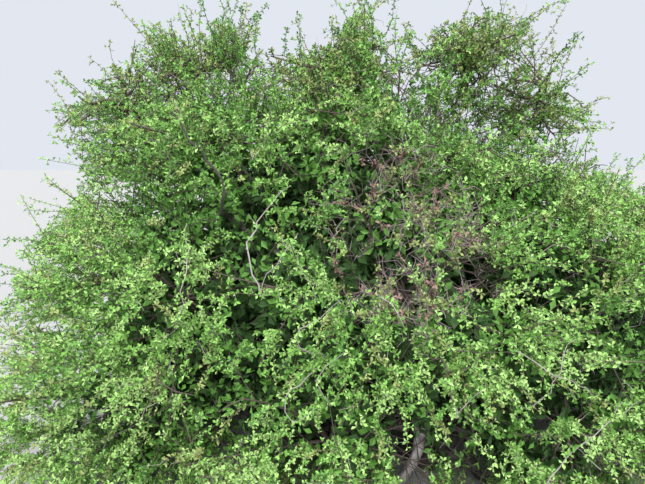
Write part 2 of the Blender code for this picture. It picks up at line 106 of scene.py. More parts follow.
Tier = namedtuple("Tier", "name count bearing centre half_width half_depth height tilt across up "
                          "stem_low stem_high bough_radius arch")
TIERS = (
    Tier("skirt", 7, -62.0, (-0.22, 0.25), 1.76, 0.92, 0.50, 0.00, 0.84, 0.62, 0.13, 0.27, 0.027, 0.20),
    Tier("side", 7, -90.0, (-0.26, 0.25), 1.62, 0.88, 1.25, 0.14, 0.84, 0.62, 0.40, 0.62, 0.030, 0.10),
    Tier("shoulder", 5, -60.0, (-0.68, 0.25), 0.95, 0.56, 1.94, -0.08, 0.76, 0.60, 0.80, 1.02, 0.027, 0.02),
    Tier("top", 3, 180.0, (-0.82, 0.25), 0.62, 0.32, 2.36, 0.00, 0.62, 0.52, 1.20, 1.38, 0.023, 0.00),
)
Single = namedtuple("Single", "name centre across up stem_height bough_radius arch dense")
SINGLES = (
    Single("hip", (0.60, 0.30, 1.66), 0.58, 0.48, 0.72, 0.026, 0.02, True),
    Single("spray_top", (0.20, 0.22, 2.46), 0.54, 0.50, 1.12, 0.026, 0.00, False),
    Single("spray_tip", (0.64, 0.18, 2.24), 0.46, 0.44, 0.94, 0.024, 0.05, False),
    Single("spray_left", (-1.80, 0.06, 2.22), 0.46, 0.44, 1.06, 0.022, 0.02, False),
)
SINGLES_LEAN_FROM = (-0.66, 0.25, 1.64)

# Growth finer than the solids: shoots from the heart, branchlets on them, sprays out to the skin
Habit = namedtuple("Habit", "shoots shoot_spread branchlets density spray_spread inner_leaves "
                            "root_depth leafy_length leaders shoot_radius")
DENSE = Habit(18, 148, 8, 1.0, 140, 28, 0.17, 0.25, 0.07, 0.008)
LOOSE = Habit(14, 125, 8, 0.90, 140, 9, 0.22, 0.26, 0.09, 0.009)
OPEN = Habit(12, 140, 7, 0.58, 155, 1, 0.30, 0.34, 0.14, 0.010)
LOOSE_MASSES = ("top_1", "top_2", "top_3")
CREASE_FILL = 0.08
Region = namedtuple("Region", "centre radii")
HEART = Region(np.array([-0.16, 0.25, 0.95]), np.array([2.22, 1.44, 1.50]))
SKIN_DROP = 0.02
FARTHEST = 1.5
EXIT_STEP = 0.08
EXIT_STEPS = 15
NORMAL_STEP = 0.02
CLEAR_AIR = (0.10, 0.20)  # how far out from a point that is seen the air is clear
FRONT_BASE = 0.55
FRONT_BY_Y = 0.75
FRONT_BY_Z = 0.15
# What tells one stream of random numbers from another
BOUGH_SEED, ROOF_SEED, GROWTH_SEED, SINK_SEED, TONE_SEED = 7, 9, 19, 3, 5

# How high the crown stands along its width, where dense and where open, over the line y = ROOF_LINE
DENSE_ROOF = ((-2.6, 0.9), (-2.42, 1.42), (-2.25, 1.66), (-2.12, 1.86), (-1.95, 2.05), (-1.76, 2.22),
              (-1.58, 2.38), (-1.2, 2.5), (-0.95, 2.4), (-0.64, 2.38), (-0.43, 2.52), (-0.29, 2.44),
              (-0.18, 2.24), (0.1, 2.18), (0.4, 2.08), (0.62, 1.96), (0.8, 1.88), (1.02, 1.78),
              (1.3, 1.68), (1.75, 1.6), (2.05, 1.4), (2.3, 1.0))
OPEN_ROOF = ((-2.6, 1.4), (-2.22, 1.8), (-2.13, 2.24), (-1.95, 2.28), (-1.76, 2.42), (-1.56, 2.66),
             (-1.4, 2.5), (-1.2, 2.74), (-1.02, 2.62), (-0.85, 2.46), (-0.64, 2.46), (-0.43, 2.74),
             (-0.29, 2.56), (-0.19, 2.26), (-0.1, 2.46), (0.05, 2.74), (0.36, 2.78), (0.58, 2.7),
             (0.68, 2.4), (0.98, 2.18), (1.12, 1.96), (1.4, 1.76))
ROOF_LINE = 0.10
ROOF_FALL = 0.35
ROOF_WANDER = 0.16
ROOF_LUMP_SIZE = 0.55
ROOF_FLATNESS = 0.8  # depth per metre straight down

SHOOT_TAPER = 0.42
SHOOT_END_GAP = 0.09
SHOOT_BEND = 0.045
SHOOT_RINGS = 5
SHORTEST_SHOOT = 0.12
BRANCHLET_RADII = (0.0036, 0.0016)
BRANCHLET_LENGTH = (0.24, 0.42)
BRANCHLET_LEAN = (0.70, 1.15)
BRANCHLET_SHARE = (0.30, 0.97)
BRANCHLET_RISE = 0.2
BRANCHLET_WANDER = 0.03
BRANCHLET_CUT = 0.6
BRANCHLET_CUTS = 3
ALMOST_ONE = 0.999
SIDE_LEAN = 0.5  # how far twigs and tufts lean along the wood that they grow on
BRANCHLET_BEND = 0.12
TWIG_RINGS = 3
TWIG_DEPTHS = (0.05, 0.03)  # wanted and least, under the skin
AIM_WANDER = 0.03
SPRAY_RADII = (0.0021, 0.0009)
UNDER_SHARE = 0.30
UNDER_DEPTHS = (0.06, 0.22)
SINK_WANDER = (-0.01, 0.04)
LEADER_LENGTHS = (0.05, 0.15)
LEADER_SLANT = -0.3
LEADER_SWERVE = 0.5
LEADER_RISE = 0.35
LEADER_LEAFY = 1.15
LEADER_SPINES = 1.5
ROOT_DEPTH_SHARES = (0.7, 1.3)
ITEM_VERTICES = 4  # of a leaf, and of a spine
SPUR_LENGTHS = (0.04, 0.12)
SPUR_RADII = (0.0017, 0.0005)
SPUR_FACES = 12
SPUR_PLACES = (0.35, 0.95)
SPUR_SHARE = 0.22
SPURS_WHERE_BARE = 6
SPUR_BEND = 0.25
SPUR_LEAN = 0.7
SPUR_RISE = 0.2
SPUR_MARGIN = 1.1
SPRAY_NODES = 11
CANDIDATES_PER_M2 = 2000
SPACING_FILL = 0.60
UNSEEN_SPACING = 1.8
SPRAYS_PER_M2 = (92, 252)
SPRAY_WANDER = 0.16
OPEN_KINKS = 0.006
SPRAY_RISE = 0.10
SKIN_LUMPS = 0.14
SKIN_LUMP_SIZE = 0.30
SPINE_LENGTH = (0.018, 0.045)
SPINE_RADIUS = 0.0011
SPINE_EVERY = 4
SPINE_LEAN = 0.35
TUFT_ON_SPINE = 0.55
TUFT_RISE = 0.45
LEAFY_SHARES = (0.70, 0.96)  # of the tufts, in the bare patch and elsewhere
TUFT_LEAVES = 3
LEAF_LENGTHS = (0.032, 0.0200)
LEAF_WIDTH_RATIO = 0.54
LEAF_WIDEST = 0.60
LEAF_DROOP = 0.10
LEAF_FOLD = 0.45
LEAF_LEAN = (0.55, 1.35)
LEAF_TILT = 0.35
LEAF_SIZES = (0.65, 1.15)
FULL_TURN = 6.28
INNER_LEAF_LENGTHS = (0.024, 0.095)
INNER_LEAF_GROWTH = 0.105
INNER_BACK_GROWTH = 0.55  # how much larger they are where the skin faces the back
INNER_DEPTHS = (0.09, 1.20)
INNER_SIZES = (0.75, 1.2)
INNER_WIDTH_RATIO = 0.56
INNER_FOLD = 0.3
INNER_WANDER = 0.03
INNER_MARGIN = 1.25
PATCH_DEPTH = 0.2
BOUGH_TWIGS = 14
BOUGH_TWIG_LENGTH = (0.22, 0.48)
BOUGH_TWIG_RISE = 0.15
BOUGH_TWIG_HEIGHT = 0.1
BOX_MARGIN = 0.02
LOWEST_LEAF = 0.004
BOX_PULL = 0.5
BOX_EASE = ((0.14, 0.14, 0.0), (0.14, 0.14, 0.06))

# Four steps of one green from deep to bright, partly real variety of tone and partly painted light and
# shade; then an olive and a russet
LEAF_TONES = (
    ("leaf_deep", (0.062, 0.158, 0.030)),
    ("leaf_mid", (0.112, 0.262, 0.050)),
    ("leaf_fresh", (0.188, 0.380, 0.076)),
    ("leaf_bright", (0.320, 0.515, 0.155)),
    ("leaf_olive", (0.270, 0.340, 0.110)),
    ("leaf_russet", (0.255, 0.158, 0.125)),
)
# Tone steps of the sprays: painted light and shade, deeper with height and towards the back, over random
# lumps and scatter of tone
TONE_BASE = 2.45
PAINTED_SHADE_WITH_HEIGHT = 0.9
PAINTED_SHADE_TOWARDS_BACK = 0.4
TONE_BY_LUMPS = 2.4
TONE_LUMP_SIZE = 0.35
TONE_WANDER = 0.9
BRIGHTER_SHARE = 0.2
OLIVE = 4
RUSSET = 5
OLIVE_SHARES = (0.10, 0.45)
RUSSET_SHARE = 0.15
TWIG_TUFTS = 5
TWIG_TUFT_PLACES = (0.2, 1.0)
TWIG_LEAF_LENGTH = 0.025
# Inner leaves: a mid green, and a darker green past a depth under the skin, which is painted shade
INNER_TONES = (("leaf_under", (0.112, 0.265, 0.046)), ("leaf_inner", (0.046, 0.108, 0.026)))
PAINTED_SHADE_DEPTH = 0.36
INNER_ROUGHNESS = 0.6
# Twig colours; the last, near black, is painted shade for old twigs deep in the crown and against the sky
TWIG_TONES = (("twig", (0.110, 0.086, 0.070), 0.75), ("spine", (0.330, 0.295, 0.280), 0.6),
              ("twig_bare", (0.285, 0.205, 0.220), 0.7), ("twig_old_dark", (0.050, 0.040, 0.040), 0.8))
TWIG, SPINE, BARE = 0, 1, 2

# Barks: name, dark and pale colour, fineness. Bark meshes: sides, step between rings, relief, seed
TRUNK_BARK = ("bark", (0.036, 0.030, 0.027), (0.12, 0.105, 0.095), 26)
BOUGH_BARK = ("bark_bough", (0.085, 0.072, 0.062), (0.34, 0.31, 0.27), 34)
# The old limbs' bark is pale wood, its colours lifted brighter as painted light
PALE_BARK_WITH_PAINTED_LIGHT = ("bark_old", (0.260, 0.220, 0.210), (0.800, 0.740, 0.720), 30)
TRUNK_MESH = (30, 0.014, 0.007, 21)
OLD_MESH = (14, 0.012, 0.006, 35)
BOUGH_MESH = (10, 0.022, 0.0035)
FIRST_BOUGH_SEED = 40
BARK_STRETCH = 0.35
FURROW_WIDTH = 3.2
KNOT_SIZE = 0.07
KNOT_RELIEF = 1.6

# Places in the crown that the photograph shows as bare, reddish twigs or as a dark hollow: centre, radii
BARE_PATCH = ((-0.33, -0.95, 1.60), (0.30, 0.60, 0.36))
HOLLOWS = (
    ((-0.145, -1.32, 1.516), (0.07, 0.17, 0.08)), ((-0.062, -1.07, 1.453), (0.08, 0.2, 0.09)),
    ((0.03, -0.8, 1.385), (0.095, 0.25, 0.1)), ((0.12, -0.53, 1.318), (0.12, 0.3, 0.12)),
    ((-0.5, -1.02, 1.6), (0.07, 0.3, 0.08)), ((-0.52, -1.1, 1.49), (0.07, 0.3, 0.07)),
    ((-0.3, -1.1, 0.68), (0.07, 0.5, 0.17)), ((-0.2, -0.62, 0.39), (0.085, 0.42, 0.17)),
    ((-0.13, -0.28, 0.2), (0.1, 0.36, 0.18)), ((-0.07, -1.1, 0.66), (0.065, 0.5, 0.11)),
    ((0.09, -0.62, 0.38), (0.085, 0.42, 0.12)), ((0.2, -0.28, 0.18), (0.11, 0.36, 0.14)),
)

# Where the crown is thin enough to see the sky through it
THIN = ((-1.50, 0.15, 2.42), (0.62, 0.80, 0.28))
THIN_SHARE = 0.70

# Old twigs that show in the photograph: mass, material, first and last radius, side spines per metre, and
# the points that they run by. Each grows from the nearest twig of its mass. Both tables are in millimetres.
# Material 3 is the near-black twig colour, which is painted shade
OLD_TWIGS = (
    ("side_7", 1, (6, 2), 16, ((-932, -1073, 1554), (-919, -1023, 1604), (-883, -990, 1674),
     (-819, -982, 1722), (-777, -951, 1780))),
    ("side_7", 1, (4, 1.6), 18, ((-1155, -1108, 1465), (-1169, -1032, 1551), (-1173, -1000, 1640))),
    ("side_1", 1, (3.5, 1.4), 14, ((-792, -1154, 1556), (-772, -1150, 1581), (-737, -1144, 1625))),
    ("side_1", 1, (2.5, 1), 14, ((-772, -1150, 1581), (-809, -1107, 1602))),
    ("shoulder_5", 3, (10, 7), 6, ((-1027, -983, 1740), (-1034, -974, 1818), (-1069, -980, 1858),
     (-1114, -985, 1925), (-1162, -975, 1978), (-1220, -960, 2060))),
    ("skirt_1", 1, (4.8, 1.6), 14, ((219, -1253, 750), (245, -1248, 780), (335, -1232, 867),
     (421, -1199, 936), (480, -1160, 985))),
    ("skirt_1", 1, (2.6, 1), 14, ((335, -1232, 867), (290, -1240, 900))),
    ("skirt_1", 1, (2.6, 1), 14, ((293, -1240, 824), (250, -1245, 855))),
    ("side_1", 1, (4, 1.4), 14, ((170, -1327, 1137), (168, -1338, 1187), (186, -1329, 1238),
     (230, -1300, 1270))),
    ("side_1", 1, (3.4, 1.4), 14, ((196, -1309, 1124), (300, -1219, 1057), (360, -1175, 1010))),
    ("side_1", 1, (3.6, 1.4), 14, ((-180, -1400, 1010), (-142, -1420, 1080), (-100, -1410, 1110))),
    ("side_1", 1, (3.4, 1.4), 16, ((-783, -1251, 1030), (-766, -1259, 962), (-745, -1264, 935),
     (-717, -1279, 966), (-670, -1320, 1030))),
    ("side_1", 1, (3.4, 1.4), 14, ((-660, -1365, 1155), (-619, -1378, 1207), (-570, -1394, 1245))),
    ("side_1", 1, (3.4, 1.4), 14, ((-720, -1335, 1310), (-662, -1350, 1366), (-590, -1362, 1420))),
    ("side_1", 1, (3.4, 1.4), 14, ((-445, -1410, 1440), (-400, -1449, 1383), (-380, -1452, 1340))),
    ("spray_top", 3, (11, 3), 12, ((121, 130, 2000), (210, 100, 2219), (300, 100, 2359), (379, 100, 2451),
     (482, 100, 2519), (600, 100, 2590))),
    ("spray_top", 3, (7.5, 2.8), 14, ((262, 100, 2329), (250, 100, 2393), (196, 100, 2496),
     (163, 100, 2700))),
    ("spray_tip", 3, (8, 2.4), 14, ((269, 50, 2031), (372, 50, 2062), (456, 50, 2086), (554, 50, 2084),
     (760, 60, 2150), (960, 80, 2200))),
    ("spray_top", 3, (5, 2), 14, ((98, 100, 2541), (228, 100, 2536), (380, 100, 2545))),
    ("spray_left", 3, (9.5, 3), 12, ((-1523, 50, 2030), (-1516, 50, 2194), (-1492, 50, 2299),
     (-1463, 50, 2495), (-1500, 50, 2640))),
    ("spray_left", 3, (6, 2), 14, ((-1700, 60, 2080), (-1860, 50, 2190), (-2020, 40, 2250),
     (-2140, 30, 2310))),
    ("top_1", 3, (8, 2.6), 12, ((-1176, 100, 2330), (-1139, 100, 2457), (-1101, 100, 2549),
     (-1020, 100, 2700))),
    ("top_1", 3, (6, 2.2), 12, ((-1114, 100, 2318), (-1068, 100, 2399), (-990, 100, 2500))),
)
OLD_KINKS = 0.013
OLD_RING_STEP = 0.04
OLD_SPINE_LENGTHS = (0.025, 0.060)
OLD_LEAF_LENGTH = 0.022
OLD_SPINE_SHARE = 0.9
OLD_SPINE_PLACES = (0.15, 0.98)
OLD_TUFT_PLACES = (0.40, 1.0)
OLD_THICKNESS = 0.60
OLD_TUFT_STEP = 0.028
OLD_ROOT_BACK = 0.12
OLD_ROOT_IN = 0.10

# Old limbs at the foot: piece, whether its bark is pale, points, radii
OLD_LIMBS = (
    ("bark_old_limb", True, ((0, -10, 370), (-25, -110, 300), (-40, -160, 210), (-100, -230, 110),
     (-190, -320, 50), (-260, -430, 60), (-330, -560, 170)),
     (26, 22, 19, 28, 26, 22, 16)),
    ("bark_old_fork", True, ((-30, -30, 330), (-75, -120, 270), (-80, -175, 205), (-105, -235, 110)),
     (16, 16, 16, 20)),
    ("bark_low_arch", False, ((0, -20, 200), (40, -160, 190), (90, -255, 160), (158, -268, 165),
     (205, -272, 146), (240, -278, 100), (276, -288, 40), (320, -310, 24)),
     (30, 29, 29, 29, 28, 26, 23, 16)),
)

Mass = namedtuple("Mass", "name centre radii dense out stem_height bough_radius arch seed planes")
Limb = namedtuple("Limb", "points radii")
Sprays = namedtuple("Sprays", "roots middles tips leads front")


def vec(*values):
    return np.array(values, dtype=float)


def unit(v):
    return v / np.maximum(np.linalg.norm(v, axis=-1, keepdims=True), 1e-9)


def flat(points):
    return points.reshape(-1, 3)


def between(ends, share):
    return ends[0] + (ends[1] - ends[0]) * share


def ring_angles(tier):
    """Angles on a tier's ellipse that stand the same distance apart along it."""
    steps = np.radians(tier.bearing) + np.linspace(0, 2 * math.pi, 721)
    xs, ys = tier.half_width * np.cos(steps), tier.half_depth * np.sin(steps)
    run = np.concatenate([[0.0], np.cumsum(np.hypot(np.diff(xs), np.diff(ys)))])
    return np.interp(run[-1] * np.arange(tier.count) / tier.count, run, steps)


def masses():
    """The masses of the crown with the walls of their spaces, ring by ring and then the single ones."""
    found = []
    for tier in TIERS:
        for i, angle in enumerate(ring_angles(tier)):
            rng = np.random.default_rng([SEED, len(found)])
            size = 1.0 + rng.uniform(-MASS_WANDER, MASS_WANDER)
            centre = vec(tier.centre[0] + tier.half_width * math.cos(angle),
                         tier.centre[1] + tier.half_depth * math.sin(angle),
                         tier.height + tier.tilt * math.cos(angle))
            out = unit(vec(math.cos(angle), math.sin(angle), MASS_RISE[0] + MASS_RISE[1] * centre[2]))
            share = (i * BOUGH_ORDER % tier.count) / (tier.count - 1)
            found.append(Mass(f"{tier.name}_{i + 1}", centre,
                              vec(tier.across, tier.across, tier.up) * size, True, out,
                              tier.stem_low + (tier.stem_high - tier.stem_low) * share,
                              tier.bough_radius, tier.arch, len(found), None))
    for single in SINGLES:
        centre = vec(*single.centre)
        found.append(Mass(single.name, centre, vec(single.across, single.across, single.up), single.dense,
                          unit(centre - vec(*SINGLES_LEAN_FROM)), single.stem_height, single.bough_radius,
                          single.arch, len(found), None))
    return [mass._replace(planes=walls(mass, found)) for mass in found]


def walls(mass, crown):
    """The planes (point, outward normal) between this mass's space, its neighbours and the ground."""
    planes = [(vec(0, 0, GROUND_CLEARANCE), vec(0, 0, -1))]
    for other in crown:
        if other is mass:
            continue
        apart = other.centre - mass.centre
        share = mass.radii[0] / (mass.radii[0] + other.radii[0])
        normal = unit(apart)
        planes.append((mass.centre + apart * share - normal * SPACE_MARGIN, normal))
    return planes


def before_walls(mass, starts, ways, far):
    """The lengths of straight lines, cut where they meet a wall of the mass's space."""
    for point, normal in mass.planes:
        slope = ways @ normal
        gap = ((point - starts) @ normal) / np.maximum(slope, LEAST)
        far = np.where(slope > LEAST, np.minimum(far, gap), far)
    return np.maximum(far, 0.0)


def reach(mass, starts, ways):
    """How far straight lines can run before they leave the mass's space."""
    s, d = (starts - mass.centre) / mass.radii, ways / mass.radii
    a, b, c = (d * d).sum(-1), 2 * (s * d).sum(-1), (s * s).sum(-1) - 1.0
    root = b * b - 4 * a * c
    far = np.where(root > 0, (-b + np.sqrt(np.maximum(root, 0))) / (2 * a), 0.0)
    return before_walls(mass, starts, ways, far)


def depth_in(mass, points):
    """How deep points lie under the skin of an ellipsoid."""
    return (1.0 - np.linalg.norm((points - mass.centre) / mass.radii, axis=-1)) * mass.radii.min()


def is_open(mass):
    return not mass.dense or mass.name in LOOSE_MASSES


def roof_depths(points):
    """How far points lie under the roof of the dense masses and under that of the open ones."""
    along = points[..., 0] + ROOF_WANDER * (lumps(points * vec(0, 1, 0.3), ROOF_LUMP_SIZE, ROOF_SEED) - 0.5)
    lower = points[..., 2] + ROOF_FALL * np.maximum(ROOF_LINE - points[..., 1], 0.0)
    return [ROOF_FLATNESS * (np.interp(along, *zip(*roof)) - lower) for roof in (DENSE_ROOF, OPEN_ROOF)]


def crown_depth(points):
    """How deep points lie under the crown's skin, which closes the creases between its masses."""
    roofs = roof_depths(points)
    depths = [np.minimum(depth_in(mass, points), roofs[is_open(mass)]) for mass in CROWN]
    depths = np.stack([*depths, np.minimum(depth_in(HEART, points), roofs[0])])
    highest = depths.max(axis=0)
    return highest + CREASE_FILL * np.log(np.exp((depths - highest) / CREASE_FILL).sum(axis=0)) - SKIN_DROP


def owner_of(points):
    """The number of the mass in which each point lies deepest."""
    return np.argmax(np.stack([depth_in(mass, points) for mass in CROWN]), axis=0)


def skin_between(starts, ways, low, high, rounds):
    """Where lines come out of the crown, between a low and a high length."""
    for _ in range(rounds):
        middle = (low + high) * 0.5
        under = crown_depth(starts + ways * middle[:, None]) > 0
        low, high = np.where(under, middle, low), np.where(under, high, middle)
    return low


def skin_reach(mass, starts, ways):
    """How far lines can run before they come out of the crown or meet a wall."""
    wall = before_walls(mass, starts, ways, np.full(len(starts), FARTHEST))
    comes_out = crown_depth(starts + ways * wall[:, None]) < 0
    comes_out &= crown_depth(starts) > 0
    low = skin_between(starts, ways, np.zeros(len(starts)), wall, 14)
    return np.where(comes_out, low, wall)


def first_exit(starts, ways):
    """How far lines run until they first come out of the crown, and which of them do."""
    high, out = np.zeros(len(starts)), np.zeros(len(starts), dtype=bool)
    for k in range(1, EXIT_STEPS + 1):
        outside = crown_depth(starts + ways * EXIT_STEP * k) < 0
        high = np.where(outside & ~out, EXIT_STEP * k, high)
        out |= outside
    return skin_between(starts, ways, high - EXIT_STEP, high, 6), out


def samples(limb):
    """Points along a limb with its radius there."""
    rows = []
    for (p, q), (r, s) in zip(zip(limb.points, limb.points[1:]), zip(limb.radii, limb.radii[1:])):
        count = max(2, int(np.linalg.norm(q - p) / SAMPLE_STEP) + 1)
        for t in np.linspace(0, 1, count):
            rows.append([*(p + (q - p) * t), r + (s - r) * t])
    return np.array(rows)


def gap_between(points, radius, rows):
    """The least space between a set of points with one radius and the sampled limbs."""
    away = np.linalg.norm(points[:, None, :] - rows[None, :, :3], axis=2) - rows[None, :, 3]
    return float(away.min()) - radius


def curve(p0, p1, p2, p3, count):
    t = np.linspace(0, 1, count)[:, None]
    return (1 - t) ** 3 * p0 + 3 * (1 - t) ** 2 * t * p1 + 3 * (1 - t) * t ** 2 * p2 + t ** 3 * p3


def stem_centre(height):
    share = height / STEM_HEIGHT
    sway = STEM_SWAY * math.sin(2 * math.pi * share)
    return vec(STEM_LEAN[0] * share + sway, STEM_LEAN[1] * share ** STEM_LEAN_POWER - 0.6 * sway, height)


def stem_radius(height):
    share = (height / STEM_HEIGHT) ** STEM_TAPER_POWER
    taper = STEM_RADIUS_FOOT + (STEM_RADIUS_TOP - STEM_RADIUS_FOOT) * share
    return taper + FLARE_RADIUS * math.exp(-height / FLARE_HEIGHT)


def stem():
    heights = [STEM_HEIGHT * (i / (STEM_RINGS - 1)) ** STEM_RING_CROWDING for i in range(STEM_RINGS)]
    return Limb([stem_centre(h) for h in heights], [stem_radius(h) for h in heights])


def frames_of(ways):
    """Two unit vectors square to each direction."""
    steep = np.abs(ways[..., 2:]) >= 0.9
    helper = np.where(steep, vec(1, 0, 0), vec(0, 0, 1))
    side = unit(np.cross(helper, ways))
    return side, np.cross(ways, side)


def turned(side, up, turn):
    """Vectors at an angle about a direction, from its two square ones."""
    return side * np.cos(turn) + up * np.sin(turn)


def ring_turns(sides):
    return 2 * math.pi * np.arange(sides) / sides


def spread_ways(out, count, widest):
    """Directions spaced evenly about out by the golden angle, as far round as the widest angle."""
    side, up = frames_of(out)
    k = np.arange(count)
    height = 1.0 - (1.0 - math.cos(math.radians(widest))) * (k + 0.5) / count
    ring = np.sqrt(np.maximum(0.0, 1.0 - height * height))
    angle = k * GOLDEN_ANGLE
    across, along = (ring * np.cos(angle))[:, None], (ring * np.sin(angle))[:, None]
    return unit(out * height[:, None] + side * across + up * along)


def entry_point(mass):
    """Where the mass's bough ends."""
    inward = unit(-mass.out - vec(0, 0, ENTRY_DROP))
    if not mass.dense:
        return mass.centre + inward * mass.radii.min() * OPEN_ENTRY_SHARE
    depth = float(reach(mass, mass.centre, inward))
    return mass.centre + inward * (depth * CORE_SHARE_INWARD + ENTRY_GAP)


def bough(mass, entry, taken, parent):
    """A gnarled limb from the stem's heart to the mass, moved or bowed where it would touch another."""
    for shift, bow, lift in product(BOUGH_SHIFTS, BOUGH_BOWS, BOUGH_LIFTS):
        limb = bough_path(mass, entry, mass.stem_height + shift, bow, lift)
        if bough_is_clear(limb, taken, parent):
            return limb
    raise ValueError(f"no room for the bough of {mass.name}")


def bough_path(mass, entry, stem_height, bow, lift):
    rng = np.random.default_rng([SEED, mass.seed, BOUGH_SEED])
    foot = stem_centre(stem_height)
    length = np.linalg.norm(entry - foot)
    away = unit(vec(entry[0] - foot[0], entry[1] - foot[1], 0))
    aside = vec(-away[1], away[0], 0) * bow * length
    leaves = foot + away * length * BOUGH_LEAVES_STEM + aside + vec(0, 0, mass.arch + lift)
    enters = entry - unit(mass.out + vec(0, 0, BOUGH_RISE)) * length * BOUGH_ENTERS_MASS + aside
    points = list(curve(foot, leaves, enters, entry, BOUGH_RINGS))
    for i in range(2, BOUGH_RINGS - 1):
        points[i] = points[i] + rng.uniform(-1, 1, 3) * BOUGH_GNARL
    radii = mass.bough_radius * (1 - (1 - BOUGH_TIP_RATIO) * np.linspace(0, 1, BOUGH_RINGS))
    return Limb(points, list(radii))


def bough_is_clear(limb, taken, parent):
    foot, radius = limb.points[0], limb.radii[0]
    rows = samples(limb)
    if rows[:, 2].min() < radius + GROUND_CLEARANCE:
        return False
    from_foot = np.linalg.norm(rows[:, :3] - foot, axis=1)
    past_bark = rows[from_foot > stem_radius(foot[2])]
    if any(gap_between(past_bark[:, :3], radius, other) < LIMB_CLEARANCE for other in taken):
        return False
    past_foot = rows[from_foot > stem_radius(foot[2]) + 2.5 * radius]
    return gap_between(past_foot[:, :3], radius, parent) > LIMB_CLEARANCE


def make_limbs(trunk_rows):
    limbs, taken = [], []
    for mass in CROWN:
        limbs.append(bough(mass, entry_point(mass), taken, trunk_rows))
        taken.append(samples(limbs[-1]))
    return limbs


# Smooth random lumps

def lumps(points, size, seed):
    """A smooth random value from 0 to 1 at each point, with lumps of a given size."""
    cells = 17
    values = np.random.default_rng([SEED, seed]).random((cells, cells, cells))
    at = points / size
    low = np.floor(at).astype(int)
    t = at - low
    t = t * t * (3 - 2 * t)
    total = 0.0
    for corner in range(8):
        step = np.array([corner & 1, corner >> 1 & 1, corner >> 2])
        weight = np.prod(np.where(step == 1, t, 1 - t), axis=-1)
        index = (low + step) % cells
        total = total + weight * values[index[..., 0], index[..., 1], index[..., 2]]
    return total


# Meshes from arrays

def tubes(paths, radii, sides):
    """Tapering tubes along many paths at once, as vertices and triangles."""
    count, rings = radii.shape
    along = unit(np.gradient(paths, axis=1))
    course = unit(paths[:, -1] - paths[:, 0])
    helper = np.where(np.abs(course[:, 2:]) < 0.8, vec(0, 0, 1), vec(1, 0, 0))[:, None, :]
    side = unit(np.cross(np.broadcast_to(helper, along.shape), along))
    up = np.cross(along, side)
    ring = turned(side[:, :, None], up[:, :, None], ring_turns(sides)[:, None])
    vertices = paths[:, :, None] + ring * radii[:, :, None, None]
    index = np.arange(count * rings * sides).reshape(count, rings, sides)
    a, b = index[:, :-1], index[:, 1:]
    c, d = np.roll(b, -1, axis=2), np.roll(a, -1, axis=2)
    faces = np.concatenate([flat(np.stack([a, d, c], -1)), flat(np.stack([a, c, b], -1))])
    return flat(vertices), faces


def spikes(feet, ways, lengths, radius):
    """Thin three-sided spines, as vertices and triangles."""
    side, up = frames_of(ways)
    ring = turned(side[:, None], up[:, None], ring_turns(3)[:, None])
    base = feet[:, None] + ring * radius
    tips = (feet + ways * lengths[:, None])[:, None]
    vertices = np.concatenate([base, tips], axis=1)
    first = np.arange(len(feet))[:, None, None] * ITEM_VERTICES
    faces = first + np.array([[0, 1, 3], [1, 2, 3], [2, 0, 3]])
    return flat(vertices), flat(faces)


def blades(feet, ways, facing, lengths, widths, fold):
    """Leaves of two faces folded along the midrib, widest past the middle."""
    across = unit(np.cross(ways, facing))
    raised = unit(facing - ways * (facing * ways).sum(-1, keepdims=True))
    long, wide = lengths[:, None], widths[:, None] * 0.5
    middle = feet + ways * long * LEAF_WIDEST + raised * wide * fold
    tips = feet + ways * long - raised * long * LEAF_DROOP
    vertices = np.stack([feet, middle + across * wide, tips, middle - across * wide], axis=1)
    first = np.arange(len(feet))[:, None, None] * ITEM_VERTICES
    faces = first + np.array([[0, 1, 2], [0, 2, 3]])
    return flat(vertices), flat(faces)


def piece(name, parts, materials, smooth):
    """One object from parts of (vertices, triangles, material number of each triangle)."""
    offsets = np.cumsum([0] + [len(vertices) for vertices, _, _ in parts[:-1]])
    vertices = np.concatenate([part[0] for part in parts])
    faces = np.concatenate([part[1] + offset for part, offset in zip(parts, offsets)])
    slots = np.concatenate([np.broadcast_to(part[2], len(part[1])) for part in parts])
    mesh = bpy.data.meshes.new(name)
    mesh.vertices.add(len(vertices))
    mesh.vertices.foreach_set("co", vertices.astype(np.float32).ravel())
    mesh.loops.add(len(faces) * 3)
    mesh.loops.foreach_set("vertex_index", faces.astype(np.int32).ravel())
    mesh.polygons.add(len(faces))
    mesh.polygons.foreach_set("loop_start", np.arange(0, len(faces) * 3, 3, dtype=np.int32))
    mesh.polygons.foreach_set("material_index", slots.astype(np.int32))
    mesh.polygons.foreach_set("use_smooth", np.full(len(faces), smooth))
    for surface in materials:
        mesh.materials.append(surface)
    mesh.update(calc_edges=True)
    made = bpy.data.objects.new(name, mesh)
    bpy.context.scene.collection.objects.link(made)
    return made


# Growth

def habit_of(mass):
    if not mass.dense:
        return OPEN
    return LOOSE if mass.name in LOOSE_MASSES else DENSE


def bent(starts, ends, bends, count):
    """Paths from starts to ends that bow aside by their bends."""
    t = np.linspace(0, 1, count)[None, :, None]
    return starts[:, None] + (ends - starts)[:, None] * t + bends[:, None] * 4 * t * (1 - t)


def tapered(paths, radii, sides, slots=0):
    """Tapering tubes along paths, as a part of a piece."""
    count, rings = paths.shape[:2]
    return (*tubes(paths, np.broadcast_to(np.linspace(*radii, rings), (count, rings)), sides), slots)


def places(path, at):
    """Points at places counted in a path's rings, and its steps there."""
    low = at.astype(int)
    step = path[low + 1] - path[low]
    return path[low] + step * (at - low)[:, None], step


def places_on_twigs(twigs, shares):
    """Points at shares of the length of twigs of three rings."""
    start, middle, end = (twigs[:, None, i] for i in range(TWIG_RINGS))
    return flat(np.where(shares < 0.5, start + (middle - start) * 2 * shares,
                         middle + (end - middle) * (2 * shares - 1)))


